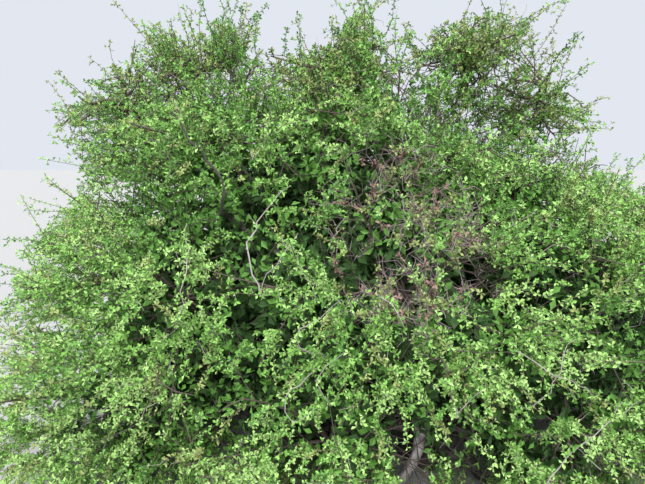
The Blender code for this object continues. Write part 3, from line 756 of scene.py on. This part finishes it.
def grow_shoots(mass, habit, rng):
    """Shoots from the heart of a mass, as paths."""
    ways = spread_ways(mass.out, habit.shoots, habit.shoot_spread)
    heart = np.broadcast_to(mass.centre, ways.shape)
    spans = skin_reach(mass, heart, ways) - SHOOT_END_GAP
    keep = spans > SHORTEST_SHOOT
    ways, heart, spans = ways[keep], heart[keep], spans[keep]
    bends = rng.uniform(-1, 1, ways.shape) * SHOOT_BEND
    return in_box(bent(heart, heart + ways * spans[:, None], bends, SHOOT_RINGS))


def grow_branchlets(habit, shoots, rng):
    """Branchlets along the shoots, spaced round them by the golden angle."""
    count = habit.branchlets
    wander = rng.uniform(-BRANCHLET_WANDER, BRANCHLET_WANDER, (len(shoots), count))
    at = np.clip(np.linspace(*BRANCHLET_SHARE, count) + wander, 0, ALMOST_ONE) * (SHOOT_RINGS - 1)
    low = at.astype(int)
    rows = np.arange(len(shoots))[:, None]
    step = shoots[rows, low + 1] - shoots[rows, low]
    starts = flat(shoots[rows, low] + step * (at - low)[..., None])
    along = flat(unit(step))
    turn = np.arange(len(starts))[:, None] * GOLDEN_ANGLE
    lean = np.tan(rng.uniform(*BRANCHLET_LEAN, (len(starts), 1)))
    ways = unit(along + turned(*frames_of(along), turn) * lean + vec(0, 0, BRANCHLET_RISE))
    lengths = rng.uniform(*BRANCHLET_LENGTH, len(starts))
    for _ in range(BRANCHLET_CUTS):
        deep = crown_depth(starts + ways * lengths[:, None]) > TWIG_DEPTHS[0]
        lengths = np.where(deep, lengths, lengths * BRANCHLET_CUT)
    keep = crown_depth(starts + ways * lengths[:, None]) > TWIG_DEPTHS[1]
    starts, ways, lengths, along = starts[keep], ways[keep], lengths[keep][:, None], along[keep]
    bends = (rng.uniform(-0.6, 0.6, starts.shape) + along * 0.5) * lengths * BRANCHLET_BEND
    return in_box(bent(starts, starts + ways * lengths, bends, TWIG_RINGS))


def grow_bough_twigs(limb, rng):
    """Twigs on the bough itself, which fill the heart of the crown."""
    at = rng.uniform(1.2, len(limb.points) - 1.01, BOUGH_TWIGS)
    starts, step = places(np.array(limb.points), at)
    turn = np.arange(BOUGH_TWIGS)[:, None] * GOLDEN_ANGLE
    ways = unit(turned(*frames_of(unit(step)), turn) + unit(step) * SIDE_LEAN + vec(0, 0, BOUGH_TWIG_RISE))
    lengths = rng.uniform(*BOUGH_TWIG_LENGTH, BOUGH_TWIGS)[:, None]
    ends = starts + ways * lengths
    keep = (crown_depth(ends) > TWIG_DEPTHS[0]) & (ends[:, 2] > BOUGH_TWIG_HEIGHT)
    starts, ends, lengths = starts[keep], ends[keep], lengths[keep]
    bends = rng.uniform(-0.1, 0.1, starts.shape) * lengths
    return in_box(bent(starts, ends, bends, TWIG_RINGS))


def skin_normals(points):
    """The way out of the crown at points of its skin."""
    around = [crown_depth(points - step) for step in np.eye(3) * NORMAL_STEP]
    here = crown_depth(points)
    return unit(np.stack([value - here for value in around], axis=-1))


def seen_from_outside(points, normals):
    """False where the way straight out from the skin soon meets the crown again."""
    clear = np.ones(len(points), dtype=bool)
    for away in CLEAR_AIR:
        clear &= crown_depth(points + normals * away) < -0.01
    return clear


def within(region, points, grow=1.0):
    centre, radii = region
    return np.linalg.norm((points - vec(*centre)) / (vec(*radii) * grow), axis=-1) < 1.0


def frontness(normals):
    """From 0 where the skin faces the back to 1 where it faces the front."""
    facing = np.clip(FRONT_BASE - FRONT_BY_Y * normals[:, 1] + FRONT_BY_Z * normals[:, 2], 0.0, 1.0)
    return facing * facing * (3 - 2 * facing)


def in_hollow(points, grow=1.0):
    """Whether points lie in one of the crown's hollows."""
    return np.any([within(hollow, points, grow) for hollow in HOLLOWS], axis=0)


def tree_of(points):
    """A tree to search points by place."""
    tree = KDTree(len(points))
    for i, point in enumerate(points):
        tree.insert(point, i)
    tree.balance()
    return tree


def spaced(points, gaps, taken, rng):
    """The numbers of points that keep their gaps from one another and from the taken ones."""
    tree = tree_of(points)
    free = np.ones(len(points), dtype=bool)
    widest = gaps.max(initial=0.0)
    for point in taken:
        for _, i, away in tree.find_range(point, widest):
            free[i] &= away > gaps[i]
    chosen = []
    for i in rng.permutation(len(points)):
        if free[i]:
            chosen.append(i)
            for _, j, _ in tree.find_range(points[i], gaps[i]):
                free[j] = False
    return np.array(chosen, dtype=int)


def skin_places(mass, habit, taken, rng):
    """Evenly spaced points of the skin, the ways to them from the heart, and the skin's normals."""
    solid_angle = 2 * math.pi * (1 - math.cos(math.radians(habit.spray_spread)))
    count = int(solid_angle * mass.radii[0] ** 2 * CANDIDATES_PER_M2)
    ways = spread_ways(mass.out, count, habit.spray_spread)
    ways = unit(ways + rng.uniform(-AIM_WANDER, AIM_WANDER, ways.shape))
    heart = np.broadcast_to(mass.centre, ways.shape)
    far, keep = first_exit(heart, ways)
    keep &= owner_of(heart + ways * far[:, None]) == mass.seed
    ways, far = ways[keep], far[keep]
    skin = mass.centre + ways * far[:, None]
    normals = skin_normals(skin)
    wanted = between(SPRAYS_PER_M2, frontness(normals)) * habit.density
    wanted = wanted * np.where(within(THIN, skin), THIN_SHARE, 1.0)
    gaps = np.sqrt(SPACING_FILL / wanted)
    gaps = gaps * np.where(seen_from_outside(skin, normals), 1.0, UNSEEN_SPACING)
    chosen = spaced(skin, gaps, taken, rng)
    taken.extend(skin[chosen])
    return skin[chosen], ways[chosen], normals[chosen]


def grow_sprays(mass, habit, wood, taken, rng):
    """Sprays from the wood out to the skin, each by a root, a middle and a tip."""
    skin, ways, normals = skin_places(mass, habit, taken, rng)
    count = len(skin)
    sunk = SKIN_LUMPS * lumps(skin, SKIN_LUMP_SIZE, SINK_SEED) + rng.uniform(*SINK_WANDER, count)
    sunk += np.where(rng.random(count) < UNDER_SHARE, rng.uniform(*UNDER_DEPTHS, count), 0.0)
    leads = (rng.random(count) < habit.leaders) & (normals[:, 2] > LEADER_SLANT)
    sunk = np.where(leads, -rng.uniform(*LEADER_LENGTHS, count), sunk)
    ways = unit(ways + normals)
    swerve = rng.uniform(-LEADER_SWERVE, LEADER_SWERVE, ways.shape) + vec(0, 0, LEADER_RISE)
    ways = np.where(leads[:, None], unit(ways + swerve), ways)
    tips = in_box(skin - ways * sunk[:, None])
    keep = ~in_hollow(tips)
    ways, tips, leads, front = ways[keep], tips[keep], leads[keep], frontness(normals[keep])

    tree = tree_of(wood)
    wanted = tips - ways * habit.root_depth * rng.uniform(*ROOT_DEPTH_SHARES, (len(tips), 1))
    roots = flat(np.array([wood[tree.find(point)[1]] for point in wanted]))
    lengths = np.linalg.norm(tips - roots, axis=1, keepdims=True)
    middles = (roots + tips) * 0.5 + rng.uniform(-1, 1, tips.shape) * lengths * SPRAY_WANDER
    middles += vec(0, 0, SPRAY_RISE) * lengths
    return Sprays(roots, in_box(middles), tips, leads, front)


def spray_points(sprays, t):
    """Points at shares of the sprays, and the way that the sprays run there."""
    roots, middles, tips = (part[:, None] for part in sprays[:3])
    t = t[..., None]
    points = (1 - t) ** 2 * roots + 2 * t * (1 - t) * middles + t ** 2 * tips
    along = unit((1 - t) * (middles - roots) + t * (tips - middles))
    return points, along


def spray_axes(mass, sprays, rng):
    """The sprays as paths, which kink where the mass can be seen through."""
    rings = 3 if mass.dense else 7
    axes, _ = spray_points(sprays, np.broadcast_to(np.linspace(0, 1, rings), (len(sprays.tips), rings)))
    if not mass.dense:
        axes[:, 1:-1] += rng.uniform(-1, 1, axes[:, 1:-1].shape) * OPEN_KINKS
    return axes


def grow_tufts(mass, habit, sprays, rng):
    """Spines along the sprays, and tufts of leaves on the sprays and the spines."""
    count = len(sprays.tips)
    lengths = np.linalg.norm(sprays.tips - sprays.roots, axis=1)
    leafy_length = habit.leafy_length * np.where(sprays.leads, LEADER_LEAFY, 1.0)
    first = np.maximum(0.0, 1.0 - leafy_length / np.maximum(lengths, LEAST))[:, None]
    steps = (np.arange(SPRAY_NODES) + 0.6) / (SPRAY_NODES - 0.3)
    nodes, along = spray_points(sprays, np.clip(first + (1 - first) * steps, 0, 1))
    turn = (np.arange(SPRAY_NODES) * GOLDEN_ANGLE + rng.uniform(0, FULL_TURN, (count, 1)))[..., None]
    radial = turned(*frames_of(along), turn)
    thorny = np.arange(SPRAY_NODES) % SPINE_EVERY == 1
    spine_long = rng.uniform(*SPINE_LENGTH, (count, SPRAY_NODES))
    spine_long = (spine_long * np.where(sprays.leads, LEADER_SPINES, 1.0)[:, None])[:, thorny]
    spine_feet, spine_ways = nodes[:, thorny], unit(radial + along * SPINE_LEAN)[:, thorny]

    patch = within(BARE_PATCH, sprays.tips)
    tone = leaf_tones(mass, sprays.tips, patch, rng)
    spray_of = np.broadcast_to(np.arange(count)[:, None], (count, SPRAY_NODES))
    rise = vec(0, 0, TUFT_RISE)
    on_spines = spine_feet + spine_ways * spine_long[..., None] * TUFT_ON_SPINE
    feet = np.concatenate([flat(nodes), flat(on_spines)])
    axes = np.concatenate([flat(unit(radial + along * SIDE_LEAN + rise)), flat(unit(spine_ways + rise))])
    owner = np.concatenate([spray_of.ravel(), spray_of[:, thorny].ravel()])
    leafy = rng.random(len(owner)) < np.where(patch[owner], *LEAFY_SHARES)
    leafy &= ~in_hollow(feet)
    owner = owner[leafy]
    leaf_lengths = between(LEAF_LENGTHS, sprays.front)[owner]
    leaves = tuft_leaves(feet[leafy], axes[leafy], tone[owner], leaf_lengths, rng)
    return leaves, (*spikes(flat(spine_feet), flat(spine_ways), spine_long.ravel(), SPINE_RADIUS), SPINE)


def grow_spurs(sprays, rng):
    """Bare spurs on some sprays, more of them in the bare patch, as a part of a piece."""
    bare = within(BARE_PATCH, sprays.tips, SPUR_MARGIN)
    wanted = np.where(bare, SPURS_WHERE_BARE, (rng.random(len(bare)) < SPUR_SHARE).astype(int))
    owner = np.repeat(np.arange(len(wanted)), wanted)
    chosen = tuple(part[owner] for part in sprays)
    feet, along = spray_points(chosen, rng.uniform(*SPUR_PLACES, (len(owner), 1)))
    keep = ~in_hollow(feet[:, 0], SPUR_MARGIN)
    feet, along, owner = feet[keep, 0], along[keep, 0], owner[keep]
    ways = unit(along * SPUR_LEAN + rng.normal(size=feet.shape) * SPUR_LEAN + vec(0, 0, SPUR_RISE))
    lengths = rng.uniform(*SPUR_LENGTHS, (len(owner), 1))
    tips = in_box(feet + ways * lengths)
    bends = rng.uniform(-SPUR_BEND, SPUR_BEND, feet.shape) * lengths
    tones = np.repeat(np.where(bare[owner], BARE, SPINE), SPUR_FACES)
    return tapered(in_box(bent(feet, tips, bends, TWIG_RINGS)), SPUR_RADII, 3, tones)


def grow_old_twigs(mass, wood, rng):
    """The old twigs of a mass: their paths, their wood and spines, and the tufts on them."""
    paths, parts, tufts = [], [], []
    for mass_name, look, (first, last), spines_per_metre, points in OLD_TWIGS:
        if mass_name != mass.name:
            continue
        points = np.array(points) / MILLIMETRES
        first, last = first / MILLIMETRES, last / MILLIMETRES
        inward = -skin_normals(points[:1])[0]
        wanted = points[0] - unit(points[1] - points[0]) * OLD_ROOT_BACK + inward * OLD_ROOT_IN
        root = wood[int(np.argmin(np.linalg.norm(wood - wanted, axis=-1)))]
        limb = Limb([root, *points], np.linspace(first, last, len(points) + 1))
        path, radii = resampled(limb, OLD_RING_STEP)
        path[1:-1] += rng.uniform(-1, 1, path[1:-1].shape) * OLD_KINKS
        path, radii = in_box(path), radii * OLD_THICKNESS
        paths.append(path)
        parts.append((*tubes(path[None], radii[None], 5), look))
        run = np.linalg.norm(np.diff(points, axis=0), axis=1).sum()
        feet, ways = side_places(path, rng.uniform(*OLD_SPINE_PLACES, int(run * spines_per_metre)))
        lengths = rng.uniform(*OLD_SPINE_LENGTHS, len(feet))
        parts.append(keep_in_box((*spikes(feet, ways, lengths, last * OLD_SPINE_SHARE), look)))
        feet, ways = side_places(path, rng.uniform(*OLD_TUFT_PLACES, int(run / OLD_TUFT_STEP)) * ALMOST_ONE)
        tones = rng.integers(1, OLIVE, len(feet))
        tufts.append(tuft_leaves(feet, ways, tones, np.full(len(feet), OLD_LEAF_LENGTH), rng))
    return paths, parts, tufts


def grow_twig_tufts(mass, twigs, rng):
    """Tufts of leaves along the twigs within a mass that can be seen through."""
    feet = places_on_twigs(twigs, rng.uniform(*TWIG_TUFT_PLACES, (len(twigs), TWIG_TUFTS, 1)))
    ways = unit(rng.normal(size=feet.shape) + vec(0, 0, 0.4))
    tones = leaf_tones(mass, feet, within(BARE_PATCH, feet), rng)
    return tuft_leaves(feet, ways, tones, np.full(len(feet), TWIG_LEAF_LENGTH), rng)


def side_places(path, shares):
    """Points at given shares of a path, and ways out of its side there."""
    points, step = places(path, shares * (len(path) - 1))
    turn = (np.arange(len(shares)) * GOLDEN_ANGLE)[:, None]
    return points, unit(turned(*frames_of(unit(step)), turn) + unit(step) * SIDE_LEAN)


def leaf_tones(mass, tips, patch, rng):
    """The tone number of each spray: painted light and shade, brighter low and in front and deeper high and
    behind, over random lumps and scatter of tone.
    """
    place = (tips - BOX_LOW) / (BOX_HIGH - BOX_LOW)
    tone = (TONE_BASE - PAINTED_SHADE_WITH_HEIGHT * place[:, 2] - PAINTED_SHADE_TOWARDS_BACK * place[:, 1]
            + TONE_BY_LUMPS * (lumps(tips, TONE_LUMP_SIZE, TONE_SEED) - 0.5))
    tone += rng.uniform(-TONE_WANDER, TONE_WANDER, len(tips))
    tone = np.clip(np.round(tone), 0, OLIVE - 1).astype(int)
    olive_share = OLIVE_SHARES[1] if is_open(mass) else np.where(patch, *OLIVE_SHARES[::-1])
    tone = np.where(rng.random(len(tips)) < olive_share, OLIVE, tone)
    return np.where(patch & (rng.random(len(tips)) < RUSSET_SHARE), RUSSET, tone)


def tuft_leaves(feet, axes, tones, leaf_lengths, rng):
    """The leaves of each tuft, spread about its axis, as a part of a piece."""
    count = len(feet)
    side, up = frames_of(axes)
    turn = (np.arange(TUFT_LEAVES) * 2 * math.pi / TUFT_LEAVES + rng.uniform(0, FULL_TURN, (count, 1)))
    turn = (turn + rng.uniform(-0.5, 0.5, turn.shape))[..., None]
    lean = rng.uniform(*LEAF_LEAN, turn.shape)
    ways = unit(axes[:, None] * np.cos(lean) + turned(side[:, None], up[:, None], turn) * np.sin(lean))
    facing = unit(axes[:, None] + rng.uniform(-LEAF_TILT, LEAF_TILT, ways.shape))
    lengths = (leaf_lengths[:, None] * rng.uniform(*LEAF_SIZES, (count, TUFT_LEAVES))).ravel()
    tones = np.repeat(tones, TUFT_LEAVES)
    shifted = np.clip(tones + (rng.random(len(tones)) < BRIGHTER_SHARE), 0, OLIVE - 1)
    tones = np.where(tones < OLIVE, shifted, tones)
    feet = np.repeat(feet, TUFT_LEAVES, axis=0)
    leaves = blades(feet, flat(ways), flat(facing), lengths, lengths * LEAF_WIDTH_RATIO, LEAF_FOLD)
    return (*leaves, np.repeat(tones, 2))


def grow_inner_leaves(habit, branchlets, rng):
    """Larger leaves on the branchlets, under the crown's skin, as a part of a piece, darker past a depth as
    painted shade.
    """
    shares = rng.uniform(0.0, 1.0, (len(branchlets), habit.inner_leaves, 1))
    points = places_on_twigs(branchlets, shares)
    points = points + rng.uniform(-INNER_WANDER, INNER_WANDER, points.shape)
    depth = crown_depth(points)
    tips_depth = SKIN_LUMPS * lumps(points, SKIN_LUMP_SIZE, SINK_SEED)
    keep = (depth > tips_depth + INNER_DEPTHS[0]) & (depth < INNER_DEPTHS[1])
    keep &= ~(within(BARE_PATCH, points) & (depth < PATCH_DEPTH)) & ~within(THIN, points)
    keep &= ~in_hollow(points, INNER_MARGIN)
    points, depth = points[keep], depth[keep]
    normals = skin_normals(points)
    ways = unit(rng.normal(size=points.shape) + normals * 0.3)
    facing = unit(normals + rng.normal(size=points.shape) * 0.5)
    lengths = INNER_LEAF_LENGTHS[0] + INNER_LEAF_GROWTH * np.maximum(depth - INNER_DEPTHS[0], 0.0)
    lengths = lengths * (1.0 + INNER_BACK_GROWTH * (1.0 - frontness(normals)))
    lengths = np.minimum(lengths, INNER_LEAF_LENGTHS[1]) * rng.uniform(*INNER_SIZES, len(points))
    leaves = blades(points, ways, facing, lengths, lengths * INNER_WIDTH_RATIO, INNER_FOLD)
    return (*leaves, np.repeat((depth > PAINTED_SHADE_DEPTH).astype(int), 2))


def in_box(points):
    """The points, eased into the box of the solids where they lie near its sides or past them."""
    low, high = BOX_LOW + vec(*BOX_EASE[0]), BOX_HIGH - vec(*BOX_EASE[1])
    points = points + BOX_PULL * np.maximum(low - points, 0.0) - BOX_PULL * np.maximum(points - high, 0.0)
    return np.clip(points, BOX_LOW + vec(0, 0, GROUND_CLEARANCE), BOX_HIGH)


def keep_in_box(part):
    """The part without the leaves or spines that reach out of the box."""
    vertices, faces, slots = part
    low, high = BOX_LOW - BOX_MARGIN, BOX_HIGH + BOX_MARGIN
    low[2] = LOWEST_LEAF
    items = vertices.reshape(-1, ITEM_VERTICES, 3)
    inside = ((items > low) & (items < high)).all(axis=(1, 2))
    faces = faces.reshape(len(items), len(faces) // max(len(items), 1), 3)
    shift = (np.cumsum(inside) - 1 - np.arange(len(items))) * ITEM_VERTICES
    kept = (faces + shift[:, None, None])[inside]
    slots = np.broadcast_to(slots, faces.shape[0] * faces.shape[1]).reshape(faces.shape[:2])
    return flat(items[inside]), flat(kept), slots[inside].ravel()


# Materials

def material(name, colour, roughness):
    made = bpy.data.materials.new(name)
    made.use_nodes = True
    shader = made.node_tree.nodes["Principled BSDF"]
    shader.inputs["Base Color"].default_value = (*colour, 1.0)
    shader.inputs["Roughness"].default_value = roughness
    return made, shader


def add_node(look, kind, **settings):
    """A new node of a material, with its inputs set by name."""
    node = look.node_tree.nodes.new(f"ShaderNode{kind}")
    for name, value in settings.items():
        node.inputs[name].default_value = value
    return node


def add_bump(look, shader, place, grain, **settings):
    """Gives a material the bump of a noise that reads its place from a socket."""
    bump, links = add_node(look, "Bump", **settings), look.node_tree.links
    links.new(place, grain.inputs["Vector"])
    links.new(grain.outputs["Fac"], bump.inputs["Height"])
    links.new(bump.outputs["Normal"], shader.inputs["Normal"])


def leaf_material(name, colour, roughness=0.48):
    look, shader = material(name, colour, roughness)
    shader.inputs["Specular IOR Level"].default_value = 0.3
    place = add_node(look, "TexCoord").outputs["Object"]
    grain = add_node(look, "TexNoise", Scale=110.0, Detail=2.0)
    add_bump(look, shader, place, grain, Strength=0.35, Distance=0.0015)
    return look


def bark_material(name, dark, pale, scale):
    look, shader = material(name, dark, 0.9)
    links = look.node_tree.links
    mapping = add_node(look, "Mapping", Scale=(1.0, 1.0, BARK_STRETCH))
    links.new(add_node(look, "TexCoord").outputs["Object"], mapping.inputs["Vector"])
    coarse = add_node(look, "TexNoise", Scale=scale, Detail=6.0, Roughness=0.65)
    ramp = add_node(look, "ValToRGB")
    for stop, place, colour in zip(ramp.color_ramp.elements, (0.38, 0.66), (dark, pale)):
        stop.position = place
        stop.color = (*colour, 1.0)
    links.new(coarse.outputs["Fac"], ramp.inputs["Fac"])
    links.new(ramp.outputs["Color"], shader.inputs["Base Color"])
    add_bump(look, shader, mapping.outputs["Vector"], coarse, Strength=0.8, Distance=0.004)
    return look


# Bark

def resampled(limb, step):
    """A limb's centre line and radii as a smooth path with a ring about every step."""
    points, radii = np.array(limb.points), np.array(limb.radii)
    run = np.concatenate([[0.0], np.cumsum(np.linalg.norm(np.diff(points, axis=0), axis=1))])
    count = max(4, int(run[-1] / step))
    s = np.linspace(0, run[-1], count)
    slopes = np.gradient(points, run, axis=0)
    i = np.clip(np.searchsorted(run, s, side="right") - 1, 0, len(run) - 2)
    h = (run[i + 1] - run[i])[:, None]
    t = ((s - run[i]) / h[:, 0])[:, None]
    smooth = ((2 * t ** 3 - 3 * t ** 2 + 1) * points[i] + (t ** 3 - 2 * t ** 2 + t) * h * slopes[i]
              + (3 * t ** 2 - 2 * t ** 3) * points[i + 1] + (t ** 3 - t ** 2) * h * slopes[i + 1])
    return smooth, np.interp(s, run, radii)


def bark_tube(limb, sides, step, relief, seed, rooted=False):
    """A limb with furrowed bark, closed at its tip."""
    path, radii = resampled(limb, step)
    vertices, faces = tubes(path[None], radii[None], sides)
    rings = vertices.reshape(len(path), sides, 3)
    out = unit(rings - path[:, None])
    if rooted:
        lobes = FLARE_LOBES * np.exp(-path[:, 2] / FLARE_HEIGHT)
        rings = rings + out * (radii * lobes)[:, None, None] * np.cos(3 * ring_turns(sides))[None, :, None]
    furrow = lumps(rings * vec(1, 1, BARK_STRETCH), relief * FURROW_WIDTH, seed) - 0.5
    knots = lumps(rings, KNOT_SIZE, seed + 1) - 0.5
    rings = rings + out * (furrow * relief + knots * relief * KNOT_RELIEF)[..., None]
    if rooted:
        rings[0, :, 2] = 0.0
        rings[:, :, 2] = np.maximum(rings[:, :, 2], 0.0)
    vertices = np.concatenate([flat(rings), path[-1:]])
    last = (len(path) - 1) * sides + np.arange(sides)
    cap = np.stack([last, np.roll(last, -1), np.full(sides, len(vertices) - 1)], axis=-1)
    return vertices, np.concatenate([faces, cap]), 0


# The plant

def stand_in(made, slot_name, *nodes):
    """Hides the solids that a piece takes the place of, and gives the piece its body; the slot name is not
    used.
    """
    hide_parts(*nodes)
    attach(made, "root")


def dress_limbs(limbs):
    bark, bough_bark, pale_bark_with_painted_light = (bark_material(*row) for row in (TRUNK_BARK, BOUGH_BARK, PALE_BARK_WITH_PAINTED_LIGHT))
    trunk = piece("bark_trunk", [bark_tube(stem(), *TRUNK_MESH, rooted=True)], [bark], True)
    stand_in(trunk, "bark", "trunk")
    for name, pale, points, radii in OLD_LIMBS:
        limb = Limb(np.array(points) / MILLIMETRES, np.array(radii) / MILLIMETRES)
        old = bark_tube(limb, *OLD_MESH)
        stand_in(piece(name, [old], [pale_bark_with_painted_light if pale else bark], True), "bark", "trunk")
    for tier in [tier.name for tier in TIERS] + ["single"]:
        chosen = [i for i, mass in enumerate(CROWN) if tier_of(mass) == tier]
        parts = [bark_tube(limbs[i], *BOUGH_MESH, FIRST_BOUGH_SEED + i) for i in chosen]
        made = piece(f"bark_boughs_{tier}", parts, [bough_bark], True)
        stand_in(made, "bark_bough", *(f"bough_{CROWN[i].name}" for i in chosen))


def tier_of(mass):
    start = mass.name.rsplit("_", 1)[0]
    return start if start in [tier.name for tier in TIERS] else "single"


def heart_stem(mass, limb):
    """The stem from the end of a bough to the heart of its mass, as a part of a piece."""
    heading = unit(limb.points[-1] - limb.points[-2])
    foot = limb.points[-1] + heading * SEAT_GAP
    path = np.stack([limb.points[-1] - heading * 0.01, foot + heading * 0.05,
                     (foot + heading * 0.05 + mass.centre) * 0.5, mass.centre])
    return (*tubes(path[None], limb.radii[-1] * np.array([[1.0, 0.9, 0.75, 0.6]]), 6), TWIG)


def dress_masses(limbs):
    leaf_looks = [leaf_material(*row) for row in LEAF_TONES]
    inner_looks = [leaf_material(*row, INNER_ROUGHNESS) for row in INNER_TONES]
    twig_looks = [leaf_material(*row) for row in TWIG_TONES]
    grown = []
    for mass, limb in zip(CROWN, limbs):
        rng = np.random.default_rng([SEED, mass.seed, GROWTH_SEED])
        habit = habit_of(mass)
        shoots = grow_shoots(mass, habit, rng)
        branchlets = grow_branchlets(habit, shoots, rng)
        if mass.dense:
            branchlets = np.concatenate([branchlets, grow_bough_twigs(limb, rng)])
        grown.append((mass, limb, rng, habit, shoots, branchlets))
    all_wood = np.concatenate([flat(branchlets) for *_, branchlets in grown])
    taken = []
    for mass, limb, rng, habit, shoots, branchlets in grown:
        old_paths, old_parts, old_tufts = grow_old_twigs(mass, all_wood, rng)
        wood = np.concatenate([flat(branchlets), flat(shoots[:, 2:]), *old_paths])
        sprays = grow_sprays(mass, habit, wood, taken, rng)
        leaves, spines = grow_tufts(mass, habit, sprays, rng)
        inner = grow_inner_leaves(habit, branchlets, rng)
        spurs = grow_spurs(sprays, rng)
        axes = spray_axes(mass, sprays, rng)
        twig_tufts = [grow_twig_tufts(mass, branchlets, rng)] if is_open(mass) else []

        shoot_radii = (habit.shoot_radius, habit.shoot_radius * SHOOT_TAPER)
        twig_parts = [heart_stem(mass, limb), tapered(shoots, shoot_radii, 4),
                      tapered(branchlets, BRANCHLET_RADII, 3), tapered(axes, SPRAY_RADII, 3),
                      spurs, keep_in_box(spines), *old_parts]
        leaf_parts = [keep_in_box(part) for part in (leaves, *old_tufts, *twig_tufts)]
        rows = ((f"twigs_{mass.name}", twig_parts, twig_looks, True),
                (f"leaves_{mass.name}", leaf_parts, leaf_looks, False),
                (f"inner_leaves_{mass.name}", [keep_in_box(inner)], inner_looks, False))
        for row in rows:
            stand_in(piece(*row), "leaf_green" if mass.dense else "leaf_open", f"foliage_{mass.name}")


# Stage, light and camera

# Name, strength, width of the sun, how far it leans towards the camera, and its turn about the vertical
SUNS = (("key", 4.6, 55, 32, -12), ("fill", 2.2, 80, 68, 25))
SKY = (0.80, 0.84, 0.92, 1.0)
SKY_STRENGTH = 0.95
FLOOR_HALF = 60.0
SENSOR = 36.0
FOCAL_PIXELS, PHOTO_PIXELS = 485.0, 645.0
EYE = (-0.65, -2.85, 1.90)
PITCH_DOWN = 10.2


def make_stage():
    floor_look, shader = material("floor_pale", (0.34, 0.34, 0.335), 0.9)
    place = add_node(floor_look, "TexCoord").outputs["Object"]
    grain = add_node(floor_look, "TexNoise", Scale=60.0)
    add_bump(floor_look, shader, place, grain, Strength=0.05)
    half = FLOOR_HALF
    corners = np.array([[-half, -half, 0], [half, -half, 0], [half, half, 0], [-half, half, 0]])
    floor = piece("floor", [(corners, np.array([[0, 1, 2], [0, 2, 3]]), 0)], [floor_look], False)

    world = bpy.data.worlds.new("soft_sky")
    bpy.context.scene.world = world
    world.use_nodes = True
    back = world.node_tree.nodes["Background"]
    back.inputs["Color"].default_value = SKY
    back.inputs["Strength"].default_value = SKY_STRENGTH

    for name, energy, angle, tilt, turn in SUNS:
        lamp = bpy.data.lights.new(name, "SUN")
        lamp.energy = energy
        lamp.angle = math.radians(angle)
        sun = bpy.data.objects.new(name, lamp)
        sun.rotation_euler = (math.radians(tilt), 0, math.radians(turn))
        bpy.context.scene.collection.objects.link(sun)


def make_camera():
    lens = bpy.data.cameras.new("camera")
    lens.sensor_width = SENSOR
    lens.lens = SENSOR * FOCAL_PIXELS / PHOTO_PIXELS
    lens.clip_end = 300.0
    camera = bpy.data.objects.new("camera", lens)
    camera.location = EYE
    camera.rotation_euler = (math.radians(90 - PITCH_DOWN), 0, 0)
    bpy.context.scene.collection.objects.link(camera)
    bpy.context.scene.camera = camera


def main():
    limbs = make_limbs(samples(stem()))
    dress_limbs(limbs)
    dress_masses(limbs)
    make_stage()
    make_camera()
    view = bpy.context.scene.view_settings
    view.view_transform = "Standard"
    view.look = "None"


CROWN = masses()
main()
